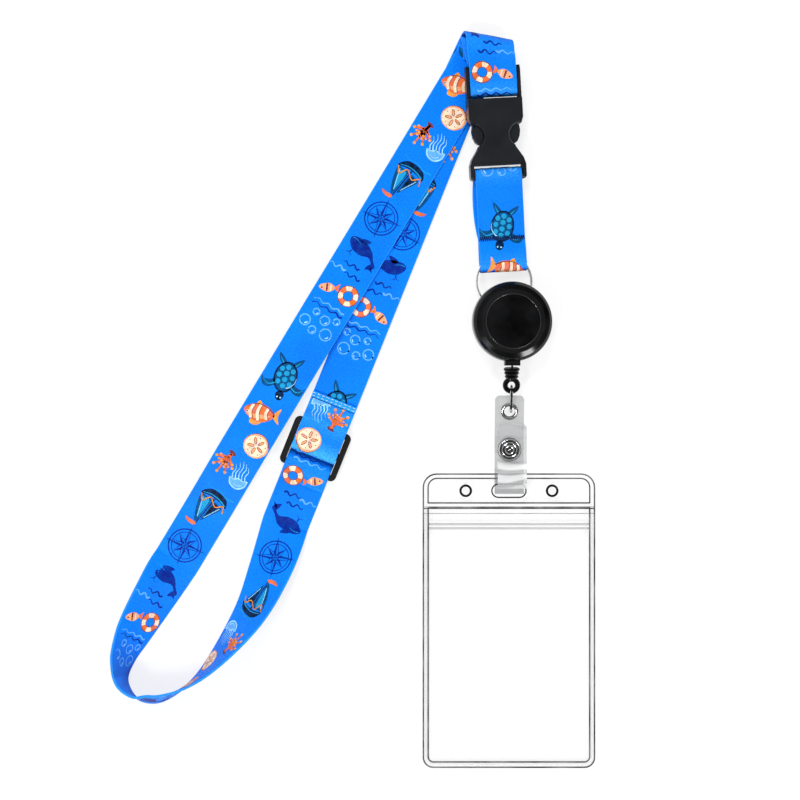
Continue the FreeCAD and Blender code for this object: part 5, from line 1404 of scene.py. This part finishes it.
tail_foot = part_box("cord_tail")[0].y + FOOT_DEPTH
tail_end = [corner.co for corner in nodes["cord_tail"].data.vertices if corner.co.y < tail_foot]
cord_from = sum(tail_end, Vector()) / len(tail_end)
cord_from.y = middle_of("cord_nozzle").y
cord_to = Vector((cord_from.x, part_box("cord_stop")[1].y - INSIDE_STOP, cord_from.z))
cord_mesh = bmesh.new()
rod(cord_mesh, cord_from, cord_to, CORD_RADIUS, 12)
drawn_cord = smooth(new_piece("drawn_cord", cord_mesh, cord_black))
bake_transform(drawn_cord)
print(f"drawn cord: {2 * CORD_RADIUS / MM:.1f} mm thick, "
      f"{(cord_from - cord_to).length / MM:.1f} mm long at rest")

# %% [markdown]
# ## Welds of the clear holder
# Two vinyl sheets are welded with a hot tool, which leaves a pair of raised lines all round, an
# outline round the header and each hole, and folds below the header. Clear vinyl shows by these
# lines alone, so they are modelled: an outline is inset by the line's width and raised. Their
# greys and black are painted shade, for the dark look that light bent at the clear ridges gives.

# %% Welded lines
sheet_low, sheet_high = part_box("holder_back_sheet")
HOLDER_X, HOLDER_Y = (sheet_low.x + sheet_high.x) / 2, sheet_high.y
HOLDER_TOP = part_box("holder_header")[1].z
HOLDER_WIDTH, HOLDER_LENGTH = sheet_high.x - sheet_low.x, sheet_high.y - sheet_low.y
LINE_GAP = 0.01 * MM


def rounded(half, top, bottom, top_corner, bottom_corner, x=0.0, steps=6):
    """Corners of an upright rounded rectangle, in millimetres from the holder's top middle."""
    outline = []
    high, low = top - top_corner, bottom + bottom_corner
    for side, middle_y, radius, start in ((1, high, top_corner, 0), (-1, high, top_corner, 90),
                                          (-1, low, bottom_corner, 180), (1, low, bottom_corner, 270)):
        middle_x = x + side * (half - radius)
        for turn in spaced(start, start + 90, steps):
            a = math.radians(turn)
            outline.append((middle_x + radius * math.cos(a), middle_y + radius * math.sin(a)))
    return outline


def welded_lines(name, outlines, paint):
    """Raised lines; each outline comes with the line's width and its height above the sheet."""
    mesh = bmesh.new()
    for outline, width, rise in outlines:
        corners = [(HOLDER_X + x * MM, HOLDER_Y + y * MM, HOLDER_TOP + LINE_GAP) for x, y in outline]
        panel = mesh.faces.new([mesh.verts.new(corner) for corner in corners])
        panel.normal_update()
        ring = bmesh.ops.inset_region(mesh, faces=[panel], thickness=width * MM,
                                      use_boundary=True, use_even_offset=True)["faces"]
        bmesh.ops.delete(mesh, geom=[panel], context="FACES_ONLY")
        raised = bmesh.ops.extrude_face_region(mesh, geom=ring)["geom"]
        top = [part for part in raised if isinstance(part, bmesh.types.BMVert)]
        bmesh.ops.translate(mesh, vec=(0, 0, rise * MM), verts=top)
    bmesh.ops.recalc_face_normals(mesh, faces=mesh.faces[:])
    return new_piece(name, mesh, paint)


half_width, foot = HOLDER_WIDTH / MM / 2, -HOLDER_LENGTH / MM
HEADER, WELD, RISE = 12.4, 2.0, 0.12
HOLE_X, HOLE_DROP, PUNCH_RADIUS, SLOT_HALF = 17.5, -7.1, 2.45, 6.7
CROSS_HALF, CROSS_RISE = half_width - 0.6, 0.1
HOLE_RIM, SLOT_RIM, SLOT_RISE = 0.15, 0.5, 0.02


def cross_line(drop, width):
    """A line across the holder, as rounded(...) with its width and height."""
    outline = rounded(CROSS_HALF, -drop + width / 2, -drop - width / 2, width * 0.3, width * 0.3, steps=2)
    return outline, width * 0.49, CROSS_RISE


def punch_line(half, beyond, width, rise, x=0.0):
    """The rim of a punched hole, which lies a little beyond its edge."""
    reach = PUNCH_RADIUS + beyond
    corner = reach - 0.01
    return rounded(half + beyond, HOLE_DROP + reach, HOLE_DROP - reach, corner, corner, x), width, rise


outer_edge = rounded(half_width - 0.05, -0.05, foot + 0.05, 5.65, 4.25)
pocket_edge = rounded(half_width - WELD, -HEADER - 1.3, foot + WELD + 0.2, 0.3, 2.4)
header_edge = rounded(half_width - WELD, -1.8, -HEADER + 0.1, 3.9, 0.4)
punched = [punch_line(PUNCH_RADIUS, HOLE_RIM, 0.95, RISE, side * HOLE_X) for side in (-1, 1)]
punched.append(punch_line(SLOT_HALF, SLOT_RIM, 0.55, SLOT_RISE))
# The grey, dark, pale and black finishes of these lines are painted shade on clear ridges.
HOLDER_LINES = {
    "holder_edge_lines": (weld_shade_grey, [(outer_edge, 0.60, RISE), (pocket_edge, 0.62, RISE)]),
    "holder_header_lines": (weld_shade_dark, [(header_edge, 0.55, RISE)]),
    "holder_fold_lines": (weld_shade_dark, [cross_line(14.2, 0.55)]),
    "holder_soft_lines": (weld_shade_pale, [cross_line(13.5, 0.3), cross_line(16.3, 0.3)]),
    "holder_hole_lines": (punch_shade_black, punched),
}
holder_lines = [welded_lines(name, outlines, paint) for name, (paint, outlines) in HOLDER_LINES.items()]

# %% [markdown]
# ## What moves with what
# Some pieces follow the imported body that carries them, each webbing piece with its print: the left
# run follows the strap, and the webbing through the slider, its flap and the flap's hem and threads
# follow the slider. The reel's lip follows the reel, and the welded lines follow the holder. The
# lower run, the buckle side and the tab stay where they are built.


def follows(name, body, *stands_for):
    for piece in straps[name], prints[name]:
        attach(piece, body)
    if stands_for:
        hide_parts(*stands_for)


follows("webbing_left", "neck_strap", "strap_left_run", "strap_left_end", "strap_bottom_bend")
follows("webbing_through", "adjuster", "strap_lower_run")
follows("webbing_flap", "adjuster", "adjuster_flap")
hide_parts("tab_strap_front", "tab_strap_back")
for piece in straps["webbing_tab"], prints["webbing_tab"], tab_zigzag:
    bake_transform(piece)
for piece in straps["webbing_lower"], prints["webbing_lower"]:
    lower_ribbon.place(0, lower_ribbon.start)
    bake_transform(piece)
for piece in straps["webbing_buckle_side"], prints["webbing_buckle_side"]:
    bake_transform(piece)
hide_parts("strap_return_run", "strap_front_run", "strap_top_outer",
            "strap_top_inner")
for piece in flap_hem, hem_stitches, hem_seam:
    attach(piece, "adjuster")
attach(reel_lip, "badge_reel")
for piece in holder_lines:
    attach(piece, "badge_holder")
